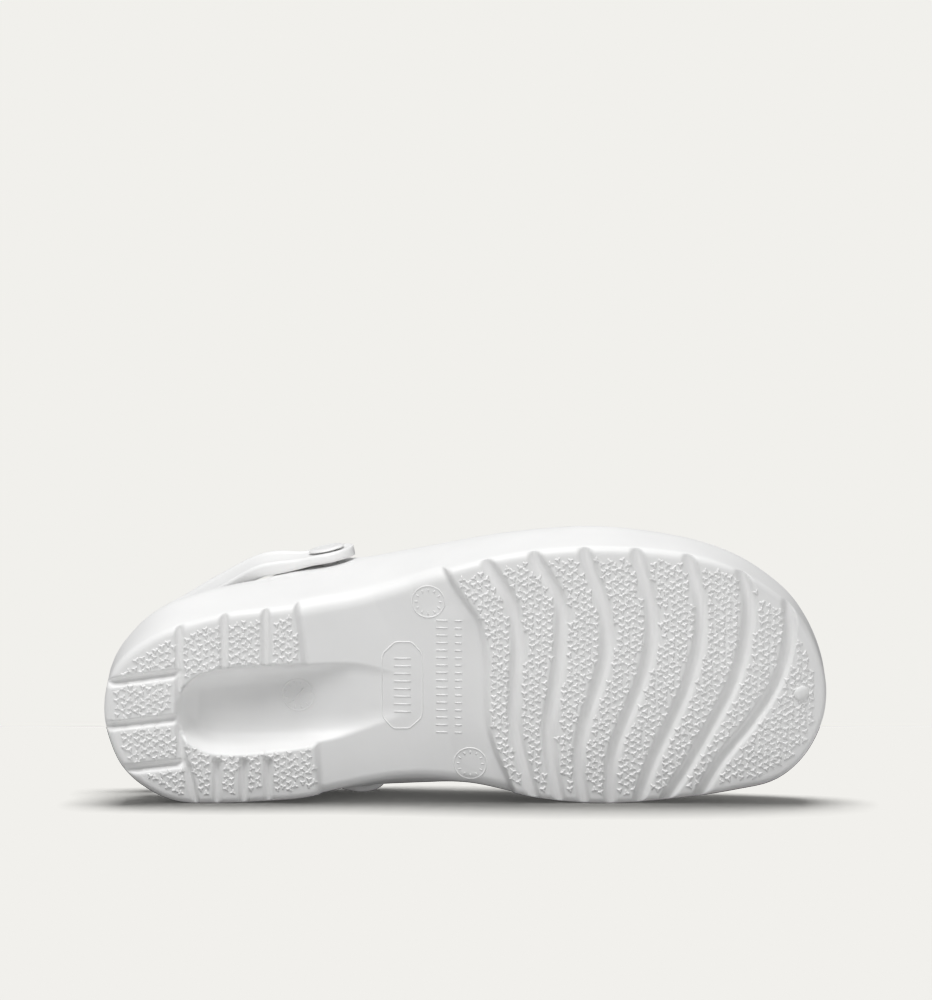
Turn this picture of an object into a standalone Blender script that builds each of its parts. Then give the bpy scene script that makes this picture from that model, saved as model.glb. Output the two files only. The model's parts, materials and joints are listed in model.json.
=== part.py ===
"""A moulded work clog, the right shoe of a pair, lying on its inner side with its sole to the front.

The shoe is built standing, with its heel at X = 0, its toe towards +X, its inner side towards +Y and its
tread on Z = 0. A stance empty then lays it down on the face of its hull that lies under its centre of mass.
"""

import math
from collections import namedtuple

import bmesh
import bpy
import numpy as np
from mathutils import Matrix, Vector
from mathutils.geometry import intersect_ray_tri

MM = 0.001
MERGE = 0.00001

# Overall sizes of the last and of the moulding around it
LENGTH = 275 * MM
WIDTH = 106 * MM
THROAT_HEIGHT = 88 * MM
TOE_SPRING = 8.0 * MM
FLAT_END = 0.782

# Walls, floor and edges of the moulding
WALL = 4.5 * MM
SIDE_WALL = 6.0 * MM
EDGE_ROUND = 3.0 * MM
HEEL_FLOOR = 22.0 * MM
BALL_FLOOR = 12.5 * MM
FLOOR_DROP_START = 0.27
FLOOR_DROP_END = 0.56

# Tread and underside
GROOVE_WIDTH = 5.0 * MM
GROOVE_DEPTH = 2.8 * MM
HEEL_GROOVE_WIDTH = 3.8 * MM
CHANNEL_WIDTH = 3.2 * MM
ARCH_HEIGHT = 5.2 * MM
ARCH_ROUND = 6.0 * MM
CAVITY_WIDTH = 33.6 * MM
CAVITY_DEPTH = 13.2 * MM
CUT_OVERSHOOT = 4.0 * MM

# Heel strap and its two buttons
STRAP_WIDTH = 17.0 * MM
STRAP_THICKNESS = 3.8 * MM
STRAP_END_RADIUS = 10.5 * MM
STRAP_CHAMFER = 1.1 * MM
PIVOT_HEIGHT = 60.0 * MM
SHANK_RADIUS = 3.0 * MM
HEAD_RADIUS = 7.0 * MM
HEAD_THICKNESS = 1.6 * MM
INNER_HEAD_RADIUS = 5.5 * MM
INNER_HEAD_THICKNESS = 1.2 * MM
LOBE_SHARE = 1.3

# Insole and clearances
INSOLE_THICKNESS = 3.5 * MM
INSOLE_INSET = 0.8 * MM
INSOLE_ROUND = 1.0 * MM
GAP = 0.3 * MM
STRAP_GAP = 1.7 * MM
INNER_HEAD_GAP = 0.4 * MM

# Fineness of the faceted surfaces
STATIONS = 88
TREAD_COLUMNS = 8
FLOOR_COLUMNS = 4
UPPER_ROWS = 9
INNER_ROWS = 6
STRAP_SECTIONS = 44
STRAP_TIP_SECTIONS = 6
TURN_STEPS = 24
PATH_SAMPLES = 400

# Shares of the curves that shape the shell's wall, its upper and the cuts in its sole
WALL_CURVE = 1.25
RISE_HANDLE = 0.40
REACH_HANDLE = 0.48
GROOVE_PROFILE = ((0.62, -0.7), (0.40, 0.65), (0.24, 1))
CAVITY_PROFILE = ((0.97, 0.35), (0.86, 0.80), (0.60, 1))
CAVITY_MOUTH = 1.04

# One row for each spoke of the shell, from the toe round the outer side, the heel and the inner side.
# along and rim_along are shares of LENGTH; across, flare and rim_across are shares of WIDTH; wide and rim_up
# are shares of THROAT_HEIGHT. along and across are the edge of the tread, flare is how far the wall's widest
# line stands out from it and wide is that line's height. The rim columns are the collar, and slope is how
# many degrees below level the upper runs away from it.
Station = namedtuple("Station", "along across flare wide rim_along rim_across rim_up slope")
STATION_ROWS = (
    Station(0.989, 0.085, 0.030, 0.295, 0.465, 0.085, 1.000, 20),
    Station(0.982, -0.030, 0.030, 0.295, 0.463, 0.042, 0.998, 20),
    Station(0.962, -0.155, 0.028, 0.295, 0.459, 0.005, 0.992, 21),
    Station(0.932, -0.258, 0.025, 0.295, 0.455, -0.033, 0.985, 22),
    Station(0.873, -0.368, 0.021, 0.295, 0.442, -0.090, 0.968, 24),
    Station(0.796, -0.426, 0.028, 0.295, 0.427, -0.137, 0.947, 28),
    Station(0.687, -0.448, 0.038, 0.300, 0.404, -0.189, 0.915, 36),
    Station(0.575, -0.426, 0.036, 0.320, 0.376, -0.236, 0.881, 46),
    Station(0.476, -0.366, 0.040, 0.364, 0.345, -0.269, 0.841, 58),
    Station(0.407, -0.307, 0.050, 0.432, 0.320, -0.278, 0.801, 68),
    Station(0.353, -0.269, 0.048, 0.477, 0.291, -0.270, 0.739, 76),
    Station(0.298, -0.247, 0.040, 0.477, 0.258, -0.263, 0.659, 82),
    Station(0.244, -0.226, 0.042, 0.432, 0.224, -0.246, 0.585, 86),
    Station(0.175, -0.206, 0.050, 0.364, 0.175, -0.235, 0.523, 88),
    Station(0.116, -0.168, 0.056, 0.318, 0.122, -0.205, 0.489, 90),
    Station(0.073, -0.123, 0.050, 0.295, 0.080, -0.133, 0.477, 90),
    Station(0.036, -0.054, 0.034, 0.284, 0.045, -0.051, 0.477, 90),
    Station(0.015, 0.028, 0.025, 0.273, 0.025, 0.038, 0.477, 90),
    Station(0.009, 0.123, 0.024, 0.273, 0.020, 0.123, 0.477, 90),
    Station(0.014, 0.212, 0.025, 0.273, 0.024, 0.217, 0.477, 90),
    Station(0.031, 0.315, 0.028, 0.284, 0.038, 0.321, 0.477, 90),
    Station(0.060, 0.390, 0.030, 0.295, 0.065, 0.401, 0.477, 90),
    Station(0.102, 0.441, 0.038, 0.318, 0.107, 0.460, 0.486, 90),
    Station(0.160, 0.447, 0.040, 0.364, 0.160, 0.483, 0.511, 88),
    Station(0.218, 0.440, 0.046, 0.432, 0.209, 0.493, 0.568, 86),
    Station(0.276, 0.427, 0.072, 0.511, 0.245, 0.488, 0.636, 82),
    Station(0.335, 0.387, 0.135, 0.568, 0.282, 0.466, 0.716, 74),
    Station(0.393, 0.354, 0.164, 0.568, 0.316, 0.455, 0.790, 64),
    Station(0.451, 0.349, 0.158, 0.545, 0.345, 0.434, 0.841, 54),
    Station(0.520, 0.377, 0.108, 0.477, 0.371, 0.410, 0.875, 48),
    Station(0.604, 0.429, 0.052, 0.364, 0.396, 0.358, 0.909, 38),
    Station(0.698, 0.447, 0.040, 0.300, 0.418, 0.302, 0.938, 31),
    Station(0.796, 0.427, 0.030, 0.295, 0.436, 0.245, 0.964, 26),
    Station(0.873, 0.400, 0.028, 0.295, 0.449, 0.193, 0.980, 23),
    Station(0.924, 0.373, 0.026, 0.295, 0.457, 0.160, 0.991, 21),
    Station(0.960, 0.302, 0.025, 0.295, 0.462, 0.129, 0.997, 20),
    Station(0.982, 0.198, 0.027, 0.295, 0.465, 0.106, 1.000, 20),
)

# Forefoot grooves: each row's places along the shoe, as shares of LENGTH, at the widths of GROOVE_ACROSS,
# which are shares of WIDTH from the outer side to the inner side.
GROOVE_ACROSS = (-0.500, -0.425, -0.278, -0.132, 0.019, 0.165, 0.311, 0.448, 0.510)
GROOVE_ROWS = (
    (0.515, 0.527, 0.562, 0.572, 0.568, 0.567, 0.579, 0.594, 0.602),
    (0.588, 0.598, 0.630, 0.631, 0.624, 0.615, 0.618, 0.629, 0.636),
    (0.660, 0.668, 0.688, 0.695, 0.683, 0.665, 0.656, 0.663, 0.668),
    (0.732, 0.738, 0.754, 0.756, 0.742, 0.720, 0.702, 0.701, 0.704),
    (0.801, 0.808, 0.823, 0.822, 0.808, 0.785, 0.759, 0.741, 0.738),
    (0.868, 0.875, 0.890, 0.886, 0.871, 0.843, 0.812, 0.779, 0.766),
    (0.930, 0.936, 0.944, 0.947, 0.932, 0.898, 0.853, 0.823, 0.812),
)

# Heel grooves: corners of each path, along as shares of LENGTH and across as shares of WIDTH.
HeelGroove = namedtuple("HeelGroove", "width path")
HEEL_GROOVES = (
    HeelGroove(CHANNEL_WIDTH, ((0.105, -0.230), (0.105, 0.245), (0.115, 0.351), (0.128, 0.500))),
    HeelGroove(HEEL_GROOVE_WIDTH, ((-0.010, 0.030), (0.104, -0.011))),
    HeelGroove(HEEL_GROOVE_WIDTH, ((-0.010, 0.189), (0.104, 0.155))),
    HeelGroove(HEEL_GROOVE_WIDTH, ((0.005, 0.352), (0.106, 0.322))),
    HeelGroove(CHANNEL_WIDTH, ((0.167, -0.290), (0.167, 0.010))),
    HeelGroove(CHANNEL_WIDTH, ((0.224, -0.310), (0.224, 0.000))),
    HeelGroove(CHANNEL_WIDTH, ((0.155, 0.240), (0.155, 0.510))),
    HeelGroove(CHANNEL_WIDTH, ((0.192, 0.240), (0.192, 0.520))),
    HeelGroove(CHANNEL_WIDTH, ((0.226, 0.240), (0.226, 0.530))),
)

# The waist: at each share across it, from the outer wall at -1 to the inner wall at 1, the places along the
# shoe where the heel's tread ends and the forefoot's begins, as shares of LENGTH.
Waist = namedtuple("Waist", "across heel_end tread_start")
WAIST_ROWS = (
    Waist(-1.15, 0.262, 0.462),
    Waist(-0.90, 0.267, 0.478),
    Waist(-0.70, 0.271, 0.496),
    Waist(-0.45, 0.275, 0.519),
    Waist(-0.15, 0.280, 0.527),
    Waist(0.15, 0.287, 0.528),
    Waist(0.45, 0.293, 0.532),
    Waist(0.65, 0.295, 0.542),
    Waist(0.85, 0.296, 0.558),
    Waist(1.15, 0.298, 0.582),
)
WAIST_ACROSS = (-1.15, -1.0, -0.97, -0.92, -0.85, -0.65, -0.35, 0, 0.35, 0.65, 0.85, 0.92, 0.97, 1.0, 1.15)
ARCH_SHARES = (0.58, 0.85, 1.0, 0.90, 0.56)

# The heel cavity: middle across as a share of WIDTH, width and depth as shares of the cavity's own sizes.
Cavity = namedtuple("Cavity", "along across width depth")
CAVITY_ROWS = (
    Cavity(0.105, 0.137, 0.36, 0.45),
    Cavity(0.110, 0.137, 0.56, 0.76),
    Cavity(0.122, 0.134, 0.75, 0.93),
    Cavity(0.140, 0.132, 0.90, 1.00),
    Cavity(0.165, 0.130, 0.97, 1.00),
    Cavity(0.200, 0.124, 1.00, 0.95),
    Cavity(0.240, 0.117, 0.98, 0.84),
    Cavity(0.280, 0.108, 0.95, 0.69),
    Cavity(0.320, 0.097, 0.92, 0.55),
    Cavity(0.355, 0.085, 0.84, 0.45),
    Cavity(0.390, 0.080, 0.66, 0.38),
)

# The heel strap's middle line between its pivots: along as a share of LENGTH, across as a share of WIDTH and
# up as a share of PIVOT_HEIGHT.
StrapPoint = namedtuple("StrapPoint", "along across up")
PIVOT_ALONG = {"lateral": 0.308, "medial": 0.351}
STRAP_ROWS = (
    StrapPoint(0.214, -0.277, 1.035),
    StrapPoint(0.158, -0.198, 1.065),
    StrapPoint(0.105, -0.110, 1.090),
    StrapPoint(0.055, -0.035, 1.100),
    StrapPoint(0.027, 0.040, 1.100),
    StrapPoint(0.020, 0.118, 1.100),
    StrapPoint(0.027, 0.200, 1.100),
    StrapPoint(0.055, 0.290, 1.100),
    StrapPoint(0.105, 0.385, 1.090),
    StrapPoint(0.165, 0.455, 1.065),
    StrapPoint(0.228, 0.520, 1.035),
)


def tread_height(x):
    """Height of the tread at x: flat to the ball, then rising to the toe."""
    return TOE_SPRING * max(0.0, (x / LENGTH - FLAT_END) / (1 - FLAT_END)) ** 2


def floor_height(x):
    """Height of the moulded floor inside: level under the heel, then down to the ball."""
    share = (x / LENGTH - FLOOR_DROP_START) / (FLOOR_DROP_END - FLOOR_DROP_START)
    share = min(max(share, 0.0), 1.0)
    ease = share * share * (3 - 2 * share)
    return HEEL_FLOOR + (BALL_FLOOR - HEEL_FLOOR) * ease + tread_height(x)


def closed_spline(rows, per_side):
    """Smooths a closed table and reads it at even steps, as many from toe to heel on either side.

    rows is an array whose first two columns are plan positions, and its lowest x is the heel.
    """
    count = len(rows)
    fine = 24
    samples = []
    for i in range(count):
        before, start, end, after = (rows[(i + k) % count] for k in (-1, 0, 1, 2))
        for t in np.arange(fine) / fine:
            cubic = -before + 3 * start - 3 * end + after
            square = 2 * before - 5 * start + 4 * end - after
            samples.append(0.5 * (2 * start + (end - before) * t + square * t**2 + cubic * t**3))
    samples = np.array(samples + samples[:1])
    steps = np.hypot(*np.diff(samples[:, :2], axis=0).T)
    length = np.concatenate([[0], np.cumsum(steps)])
    heel = length[int(np.argmin(rows[:, 0])) * fine]
    places = np.concatenate(
        [
            np.linspace(0, heel, per_side, endpoint=False),
            np.linspace(heel, length[-1], per_side, endpoint=False),
        ]
    )
    return np.array([np.interp(places, length, column) for column in samples.T]).T


def open_spline(points, count):
    """Smooths an open path and reads it at even steps."""
    points = np.array(points, float)
    padded = np.vstack([2 * points[0] - points[1], points, 2 * points[-1] - points[-2]])
    samples = []
    for before, start, end, after in zip(padded, padded[1:], padded[2:], padded[3:]):
        for t in np.arange(16) / 16:
            cubic = -before + 3 * start - 3 * end + after
            square = 2 * before - 5 * start + 4 * end - after
            samples.append(0.5 * (2 * start + (end - before) * t + square * t**2 + cubic * t**3))
    samples.append(points[-1])
    samples = np.array(samples)
    length = np.concatenate([[0], np.cumsum(np.linalg.norm(np.diff(samples, axis=0), axis=1))])
    places = np.linspace(0, length[-1], count)
    return np.array([np.interp(places, length, column) for column in samples.T]).T


def bezier(start, first, second, end, t):
    """The point at t of a cubic curve with these four control points."""
    s = 1 - t
    return s**3 * start + 3 * s * s * t * first + 3 * s * t * t * second + t**3 * end


class Spoke:
    """One section of the shell, from the tread's edge up the wall and over to the collar."""

    def __init__(self, row, outward):
        x, y, flare, wide, rim_x, rim_y, rim_z, slope = row
        self.edge = np.array([x, y, tread_height(x)])
        self.outward = np.array([outward[0], outward[1], 0.0])
        self.flare = flare
        self.round = min(EDGE_ROUND, flare)
        self.wide = wide
        rim = np.array([rim_x, rim_y, rim_z])
        away = np.array([self.edge[0] - rim_x, self.edge[1] - rim_y, 0.0]) + self.outward * flare
        away /= np.linalg.norm(away)
        lean = math.radians(slope)
        self.rim_tangent = away * math.cos(lean) - np.array([0, 0, math.sin(lean)])
        self.rim_normal = away * math.sin(lean) + np.array([0, 0, math.cos(lean)])
        self.rim = rim
        self.lean = lean

    def offset(self, height):
        """How far the outer wall stands out from the tread's edge at this height."""
        climb = height - self.edge[2]
        if climb < self.round:
            return math.sqrt(self.round**2 - (self.round - climb) ** 2)
        share = min(1.0, (climb - self.round) / (self.wide - self.edge[2] - self.round))
        ease = share * (WALL_CURVE - (WALL_CURVE - 1) * share * share)
        return self.round + (self.flare - self.round) * ease

    def wall(self, height, depth=0.0):
        """The point of the wall at this height, depth inside its outer face."""
        point = self.edge + self.outward * (self.offset(height) - depth)
        point[2] = height
        return point

    def arch(self, t, depth=0.0):
        """The point of the upper at t, from the widest line to the rim, depth inside its outer face."""
        low = self.wall(self.wide, depth)
        high = self.rim - self.rim_normal * depth
        rise = self.rim[2] - self.wide
        reach = np.linalg.norm(self.rim - self.wall(self.wide))
        first = RISE_HANDLE * (rise - depth * math.cos(self.lean))
        second = REACH_HANDLE * (reach - depth * math.cos(self.lean))
        # The lower wall's own slope carries on into the upper.
        spread = 0.5 * (self.flare - self.round) / (self.wide - self.edge[2] - self.round)
        ahead = np.array([0, 0, 1]) + self.outward * spread
        return bezier(low, low + ahead * first, high + self.rim_tangent * second, high, t)

    def outer(self):
        """The outer face's points, from the tread's edge to the collar."""
        low = self.edge[2]
        straight = self.wide - low - self.round
        points = [self.edge]
        points += [self.wall(low + self.round * share) for share in (0.12, 0.45)]
        points += [self.wall(low + self.round + straight * share) for share in (0, 1 / 3, 2 / 3)]
        points += [self.arch(row / UPPER_ROWS) for row in range(UPPER_ROWS + 1)]
        return points

    def lip(self):
        """The rounded lip's points, between the outer face and the inner face."""
        middle = self.rim - self.rim_normal * WALL / 2
        points = []
        for turn in (math.pi / 4, math.pi / 2, 3 * math.pi / 4):
            ahead = -self.rim_tangent * math.sin(turn) + self.rim_normal * math.cos(turn)
            points.append(middle + ahead * WALL / 2)
        return points

    def inner(self):
        """The inner face's points, from the collar down to the floor."""
        points = [self.arch(1 - row / INNER_ROWS, WALL) for row in range(INNER_ROWS + 1)]
        foot = self.floor_edge(SIDE_WALL)
        points.append(self.wall((foot[2] + self.wide) / 2, (WALL + SIDE_WALL) / 2))
        points.append(foot)
        return points

    def floor_edge(self, depth):
        """The point at the floor's height that lies depth inside the outer face."""
        point = self.wall(floor_height(self.edge[0]), depth)
        point[2] = floor_height(point[0])
        return point


def spokes():
    """The shell's spokes at even steps round the tread."""
    scale = [LENGTH, WIDTH, WIDTH, THROAT_HEIGHT, LENGTH, WIDTH, THROAT_HEIGHT, 1]
    rows = closed_spline(np.array(STATION_ROWS, float) * scale, STATIONS // 2)
    ahead = np.roll(rows, -1, axis=0)[:, :2]
    behind = np.roll(rows, 1, axis=0)[:, :2]
    along = ahead - behind
    outward = np.stack([-along[:, 1], along[:, 0]], axis=1)
    outward /= np.linalg.norm(outward, axis=1)[:, None]
    # The rows run clockwise seen from above, so the left of the way they run faces out.
    return [Spoke(row, side) for row, side in zip(rows, outward)]


def new_object(name, mesh_data, colour, collection, smooth=True):
    """Makes an object of this mesh, with its own material, in this collection."""
    material = bpy.data.materials.new(name)
    material.use_nodes = True
    shader = material.node_tree.nodes["Principled BSDF"]
    shader.inputs["Base Color"].default_value = (*colour, 1)
    shader.inputs["Roughness"].default_value = 0.5
    shader.inputs["Metallic"].default_value = 0.0
    mesh_data.materials.append(material)
    if smooth:
        mesh_data.shade_smooth()
        mesh_data.set_sharp_from_angle(angle=math.radians(35))
    made = bpy.data.objects.new(name, mesh_data)
    collection.objects.link(made)
    return made


def finish_mesh(name, mesh):
    """Turns a bmesh into mesh data, with its faces pointing out."""
    bmesh.ops.recalc_face_normals(mesh, faces=mesh.faces)
    data = bpy.data.meshes.new(name)
    mesh.to_mesh(data)
    mesh.free()
    return data


def join_rings(mesh, rings):
    """Joins each ring of vertices to the next one."""
    for ring, following in zip(rings, rings[1:]):
        count = len(ring)
        for i in range(count):
            k = (i + 1) % count
            mesh.faces.new((ring[i], ring[k], following[k], following[i]))


def span_ring(mesh, ring, columns, height):
    """Closes a ring round the shoe with strips that run across it, at the height given for each x."""
    half = len(ring) // 2
    rows = [[ring[0]] * (columns + 1)]
    for i in range(1, half):
        row = [ring[i]]
        for k in range(1, columns):
            x, y, _ = ring[i].co.lerp(ring[-i].co, k / columns)
            row.append(mesh.verts.new((x, y, height(x))))
        rows.append([*row, ring[-i]])
    rows.append([ring[half]] * (columns + 1))
    for row, following in zip(rows, rows[1:]):
        for k in range(columns):
            corners = dict.fromkeys((row[k], row[k + 1], following[k + 1], following[k]))
            mesh.faces.new(list(corners))


def body_mesh(shell):
    """The moulding before its underside is cut: tread, walls, upper, lip, inner face and floor."""
    mesh = bmesh.new()
    lines = [spoke.outer() + spoke.lip() + spoke.inner() for spoke in shell]
    rings = [[mesh.verts.new(point) for point in ring] for ring in zip(*lines)]
    join_rings(mesh, rings)
    span_ring(mesh, rings[0], TREAD_COLUMNS, tread_height)
    span_ring(mesh, rings[-1], FLOOR_COLUMNS, floor_height)
    return finish_mesh("clog_body", mesh)


def insole_mesh(shell):
    """A loose insole on the moulded floor, following its outline."""
    mesh = bmesh.new()
    inset = SIDE_WALL + INSOLE_INSET
    rings = []
    top = GAP + INSOLE_THICKNESS
    for lift, depth in ((GAP, inset), (top - INSOLE_ROUND, inset), (top, inset + INSOLE_ROUND)):
        ring = []
        for spoke in shell:
            x, y, floor = spoke.floor_edge(depth)
            ring.append(mesh.verts.new((x, y, floor + lift)))
        rings.append(ring)
    join_rings(mesh, rings)
    span_ring(mesh, rings[0], FLOOR_COLUMNS, lambda x: floor_height(x) + GAP)
    span_ring(mesh, rings[-1], FLOOR_COLUMNS, lambda x: floor_height(x) + GAP + INSOLE_THICKNESS)
    return finish_mesh("insole", mesh)


def lofted_mesh(name, sections):
    """A closed solid through sections that have the same number of points, with flat ends."""
    mesh = bmesh.new()
    rings = [[mesh.verts.new(point) for point in section] for section in sections]
    join_rings(mesh, rings)
    mesh.faces.new(rings[0])
    mesh.faces.new(rings[-1])
    return finish_mesh(name, mesh)


def groove_mesh(name, path, width):
    """A cutter for one tread groove along this plan path, with sloping sides and a narrower bottom."""
    sections = []
    along = np.gradient(path, axis=0)
    for (x, y), (run, turn) in zip(path, along):
        side = np.array([-turn, run]) * width / math.hypot(run, turn)
        low = tread_height(x)
        mirrored = [(-half, up) for half, up in reversed(GROOVE_PROFILE)]
        section = []
        for half, up in (*GROOVE_PROFILE, *mirrored):
            section.append((x + side[0] * half, y + side[1] * half, low + up * GROOVE_DEPTH))
        sections.append(section)
    return lofted_mesh(name, sections)


def forefoot_paths():
    """The plan paths of the forefoot's grooves."""
    for row in GROOVE_ROWS:
        corners = [(x * LENGTH, y * WIDTH) for x, y in zip(row, GROOVE_ACROSS)]
        yield open_spline(corners, 15)


def heel_paths():
    """The plan path and the width of each heel groove."""
    for groove in HEEL_GROOVES:
        corners = [(x * LENGTH, y * WIDTH) for x, y in groove.path]
        yield open_spline(corners, 7 if len(corners) > 2 else 2), groove.width


def cavity_mesh():
    """The cutter for the hollow under the heel, which runs out into the waist."""
    sections = []
    for row in CAVITY_ROWS:
        x, y = row.along * LENGTH, row.across * WIDTH
        half = row.width * CAVITY_WIDTH / 2
        depth = row.depth * CAVITY_DEPTH
        profile = [(CAVITY_MOUTH, -CUT_OVERSHOOT), *[(share, up * depth) for share, up in CAVITY_PROFILE]]
        right = [(x, y + share * half, up) for share, up in profile]
        left = [(x, y - share * half, up) for share, up in reversed(profile)]
        sections.append(right + left)
    return lofted_mesh("cavity_cutter", sections)


def wall_sides(shell):
    """Plan positions of the outer wall just above the waist, as x and y arrays for each side."""
    half = len(shell) // 2
    places = np.array([spoke.wall(ARCH_HEIGHT + ARCH_ROUND)[:2] for spoke in shell])
    outer, inner = places[: half + 1], places[half:]
    return outer[::-1].T, inner.T


def waist_mesh(shell):
    """The cutter that lifts the waist off the ground between heel and forefoot, rounding its two edges."""
    (outer_x, outer_y), (inner_x, inner_y) = wall_sides(shell)
    table = np.array(WAIST_ROWS)
    sections = []
    for across in WAIST_ACROSS:
        start = np.interp(across, table[:, 0], table[:, 1]) * LENGTH
        end = np.interp(across, table[:, 0], table[:, 2]) * LENGTH
        top = []
        for x, share in zip(np.linspace(start, end, len(ARCH_SHARES)), ARCH_SHARES):
            low_y = np.interp(x, outer_x, outer_y)
            high_y = np.interp(x, inner_x, inner_y)
            half = (high_y - low_y) / 2
            edge = ARCH_ROUND / half
            beyond = min(max((abs(across) - 1 + edge) / edge, 0.0), 1.0)
            lift = ARCH_ROUND * (1 - math.sqrt(1 - beyond * beyond))
            top.append((x, (low_y + high_y) / 2 + across * half, share * ARCH_HEIGHT + lift))
        bottom = [(x, y, -CUT_OVERSHOOT) for x, y, _ in reversed(top)]
        sections.append(top + bottom)
    return lofted_mesh("waist_cutter", sections)


def wall_near(shell, side, x, z):
    """The outer wall's point nearest to this x and z on one side, and its normal."""
    half = len(shell) // 2
    chosen = shell[1:half] if side == "lateral" else shell[half + 1 :]
    grid = np.array([[spoke.arch(t) for t in np.linspace(0, 1, 33)] for spoke in chosen])
    away = (grid[:, :, 0] - x) ** 2 + (grid[:, :, 2] - z) ** 2
    i, k = np.unravel_index(np.argmin(away), away.shape)
    i = min(max(i, 1), grid.shape[0] - 2)
    k = min(max(k, 1), grid.shape[1] - 2)
    normal = np.cross(grid[i + 1, k] - grid[i - 1, k], grid[i, k + 1] - grid[i, k - 1])
    normal /= np.linalg.norm(normal)
    outward = -1 if side == "lateral" else 1
    if normal[1] * outward < 0:
        normal = -normal
    # The point is carried along the wall's plane from the nearest sample to the x and z asked for.
    point = grid[i, k]
    y = point[1] - (normal[0] * (x - point[0]) + normal[2] * (z - point[2])) / normal[1]
    return np.array([x, y, z]), normal


def strap_profile(distance):
    """Half the strap's width at this distance from its tip: a round end, then the narrower band."""
    if distance < STRAP_END_RADIUS:
        return math.sqrt(STRAP_END_RADIUS**2 - (STRAP_END_RADIUS - distance) ** 2)
    share = min(1.0, (distance - STRAP_END_RADIUS) / (LOBE_SHARE * STRAP_END_RADIUS))
    ease = share * share * (3 - 2 * share)
    return STRAP_END_RADIUS + (STRAP_WIDTH / 2 - STRAP_END_RADIUS) * ease


def strap_mesh(pivots):
    """The heel strap as one band from the outer pivot round the heel to the inner one."""
    stand_off = STRAP_GAP + STRAP_THICKNESS / 2
    free = [(row.along * LENGTH, row.across * WIDTH, row.up * PIVOT_HEIGHT) for row in STRAP_ROWS]
    straight = {}
    for side, nearest in (("lateral", free[0]), ("medial", free[-1])):
        point, normal = pivots[side]
        centre = point + normal * stand_off
        away = centre - np.array(nearest)
        away -= normal * away.dot(normal)
        away *= STRAP_END_RADIUS / np.linalg.norm(away)
        straight[side] = [centre + away * share for share in (1, 0.5, 0, -0.5, -1)]
    path = open_spline([*straight["lateral"], *free, *reversed(straight["medial"])], PATH_SAMPLES)
    length = np.concatenate([[0], np.cumsum(np.linalg.norm(np.diff(path, axis=0), axis=1))])
    total = length[-1]
    tips = STRAP_END_RADIUS * (1 - np.cos(np.linspace(0.22, 1, STRAP_TIP_SECTIONS) * math.pi / 2))
    band = np.linspace(tips[-1], total - tips[-1], STRAP_SECTIONS)
    places = np.concatenate([tips, band[1:-1], (total - tips)[::-1]])
    tangents = np.gradient(path, length, axis=0)
    sections = []
    for place in places:
        middle = np.array([np.interp(place, length, column) for column in path.T])
        tangent = np.array([np.interp(place, length, column) for column in tangents.T])
        tangent /= np.linalg.norm(tangent)
        level = np.cross(tangent, (0, 0, 1))
        level /= np.linalg.norm(level)
        side = "lateral" if place < total / 2 else "medial"
        normal = pivots[side][1]
        if level.dot(normal) < 0:
            level = -level
        near = min(max(min(place, total - place) / STRAP_END_RADIUS - 2, 0) / 4, 1)
        thick = normal * (1 - near) + level * near
        thick -= tangent * thick.dot(tangent)
        thick /= np.linalg.norm(thick)
        wide = np.cross(thick, tangent)
        if wide[2] < 0:
            wide = -wide
        half = strap_profile(min(place, total - place))
        chamfer = min(STRAP_CHAMFER, half / 2)
        flat = STRAP_THICKNESS / 2 - STRAP_CHAMFER
        ring = []
        for up, out in ((1, 1), (1, -1), (-1, -1), (-1, 1)):
            corner = [(half - chamfer, STRAP_THICKNESS / 2), (half, flat)]
            for a, b in corner if up * out > 0 else corner[::-1]:
                ring.append(middle + wide * up * a + thick * out * b)
        sections.append(ring)
    return lofted_mesh("heel_strap", sections)


def turned(name, profile, point, axis, colour, collection):
    """A solid turned about its own Z, from a profile down its outer side, set along axis at point."""
    mesh = bmesh.new()
    verts = [mesh.verts.new((radius, 0, height)) for radius, height in profile]
    for start, end in zip(verts, verts[1:]):
        mesh.edges.new((start, end))
    data = bpy.data.meshes.new(name)
    mesh.to_mesh(data)
    mesh.free()
    made = new_object(name, data, colour, collection, smooth=False)
    made.location = point
    made.rotation_mode = "QUATERNION"
    made.rotation_quaternion = Vector((0, 0, 1)).rotation_difference(Vector(axis))
    screw = made.modifiers.new("Turn", "SCREW")
    screw.steps = TURN_STEPS
    screw.render_steps = TURN_STEPS
    screw.use_merge_vertices = True
    screw.merge_threshold = MERGE
    return made


def cut(target, cutter):
    """Takes the cutter's shape out of the target."""
    modifier = target.modifiers.new(cutter.name, "BOOLEAN")
    modifier.operation = "DIFFERENCE"
    modifier.solver = "EXACT"
    modifier.object = cutter


def hide_cutter(cutter):
    """Leaves a cutter out of the render and draws it as wires."""
    cutter.hide_render = True
    cutter.display_type = "WIRE"


def inner_reach(shell, point, normal):
    """How far in from point, against normal, the wall's inner face comes under a button's inner head."""
    shares = np.arange(INNER_ROWS + 1) / INNER_ROWS
    rows = np.array([[spoke.arch(share, WALL) for share in shares] for spoke in shell])
    following = np.roll(rows, -1, axis=0)
    depths = []
    for s in np.linspace(0, 1, 9):
        between = rows * (1 - s) + following * s
        for t in np.linspace(0, 1, 9):
            away = (between[:, :-1] * (1 - t) + between[:, 1:] * t).reshape(-1, 3) - point
            depth = -(away @ normal)
            beside = np.linalg.norm(away + np.outer(depth, normal), axis=1)
            this_wall = (depth > 0) & (depth < WIDTH / 4)
            depths += list(depth[this_wall & (beside < INNER_HEAD_RADIUS + GAP)])
    return max(depths)


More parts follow.
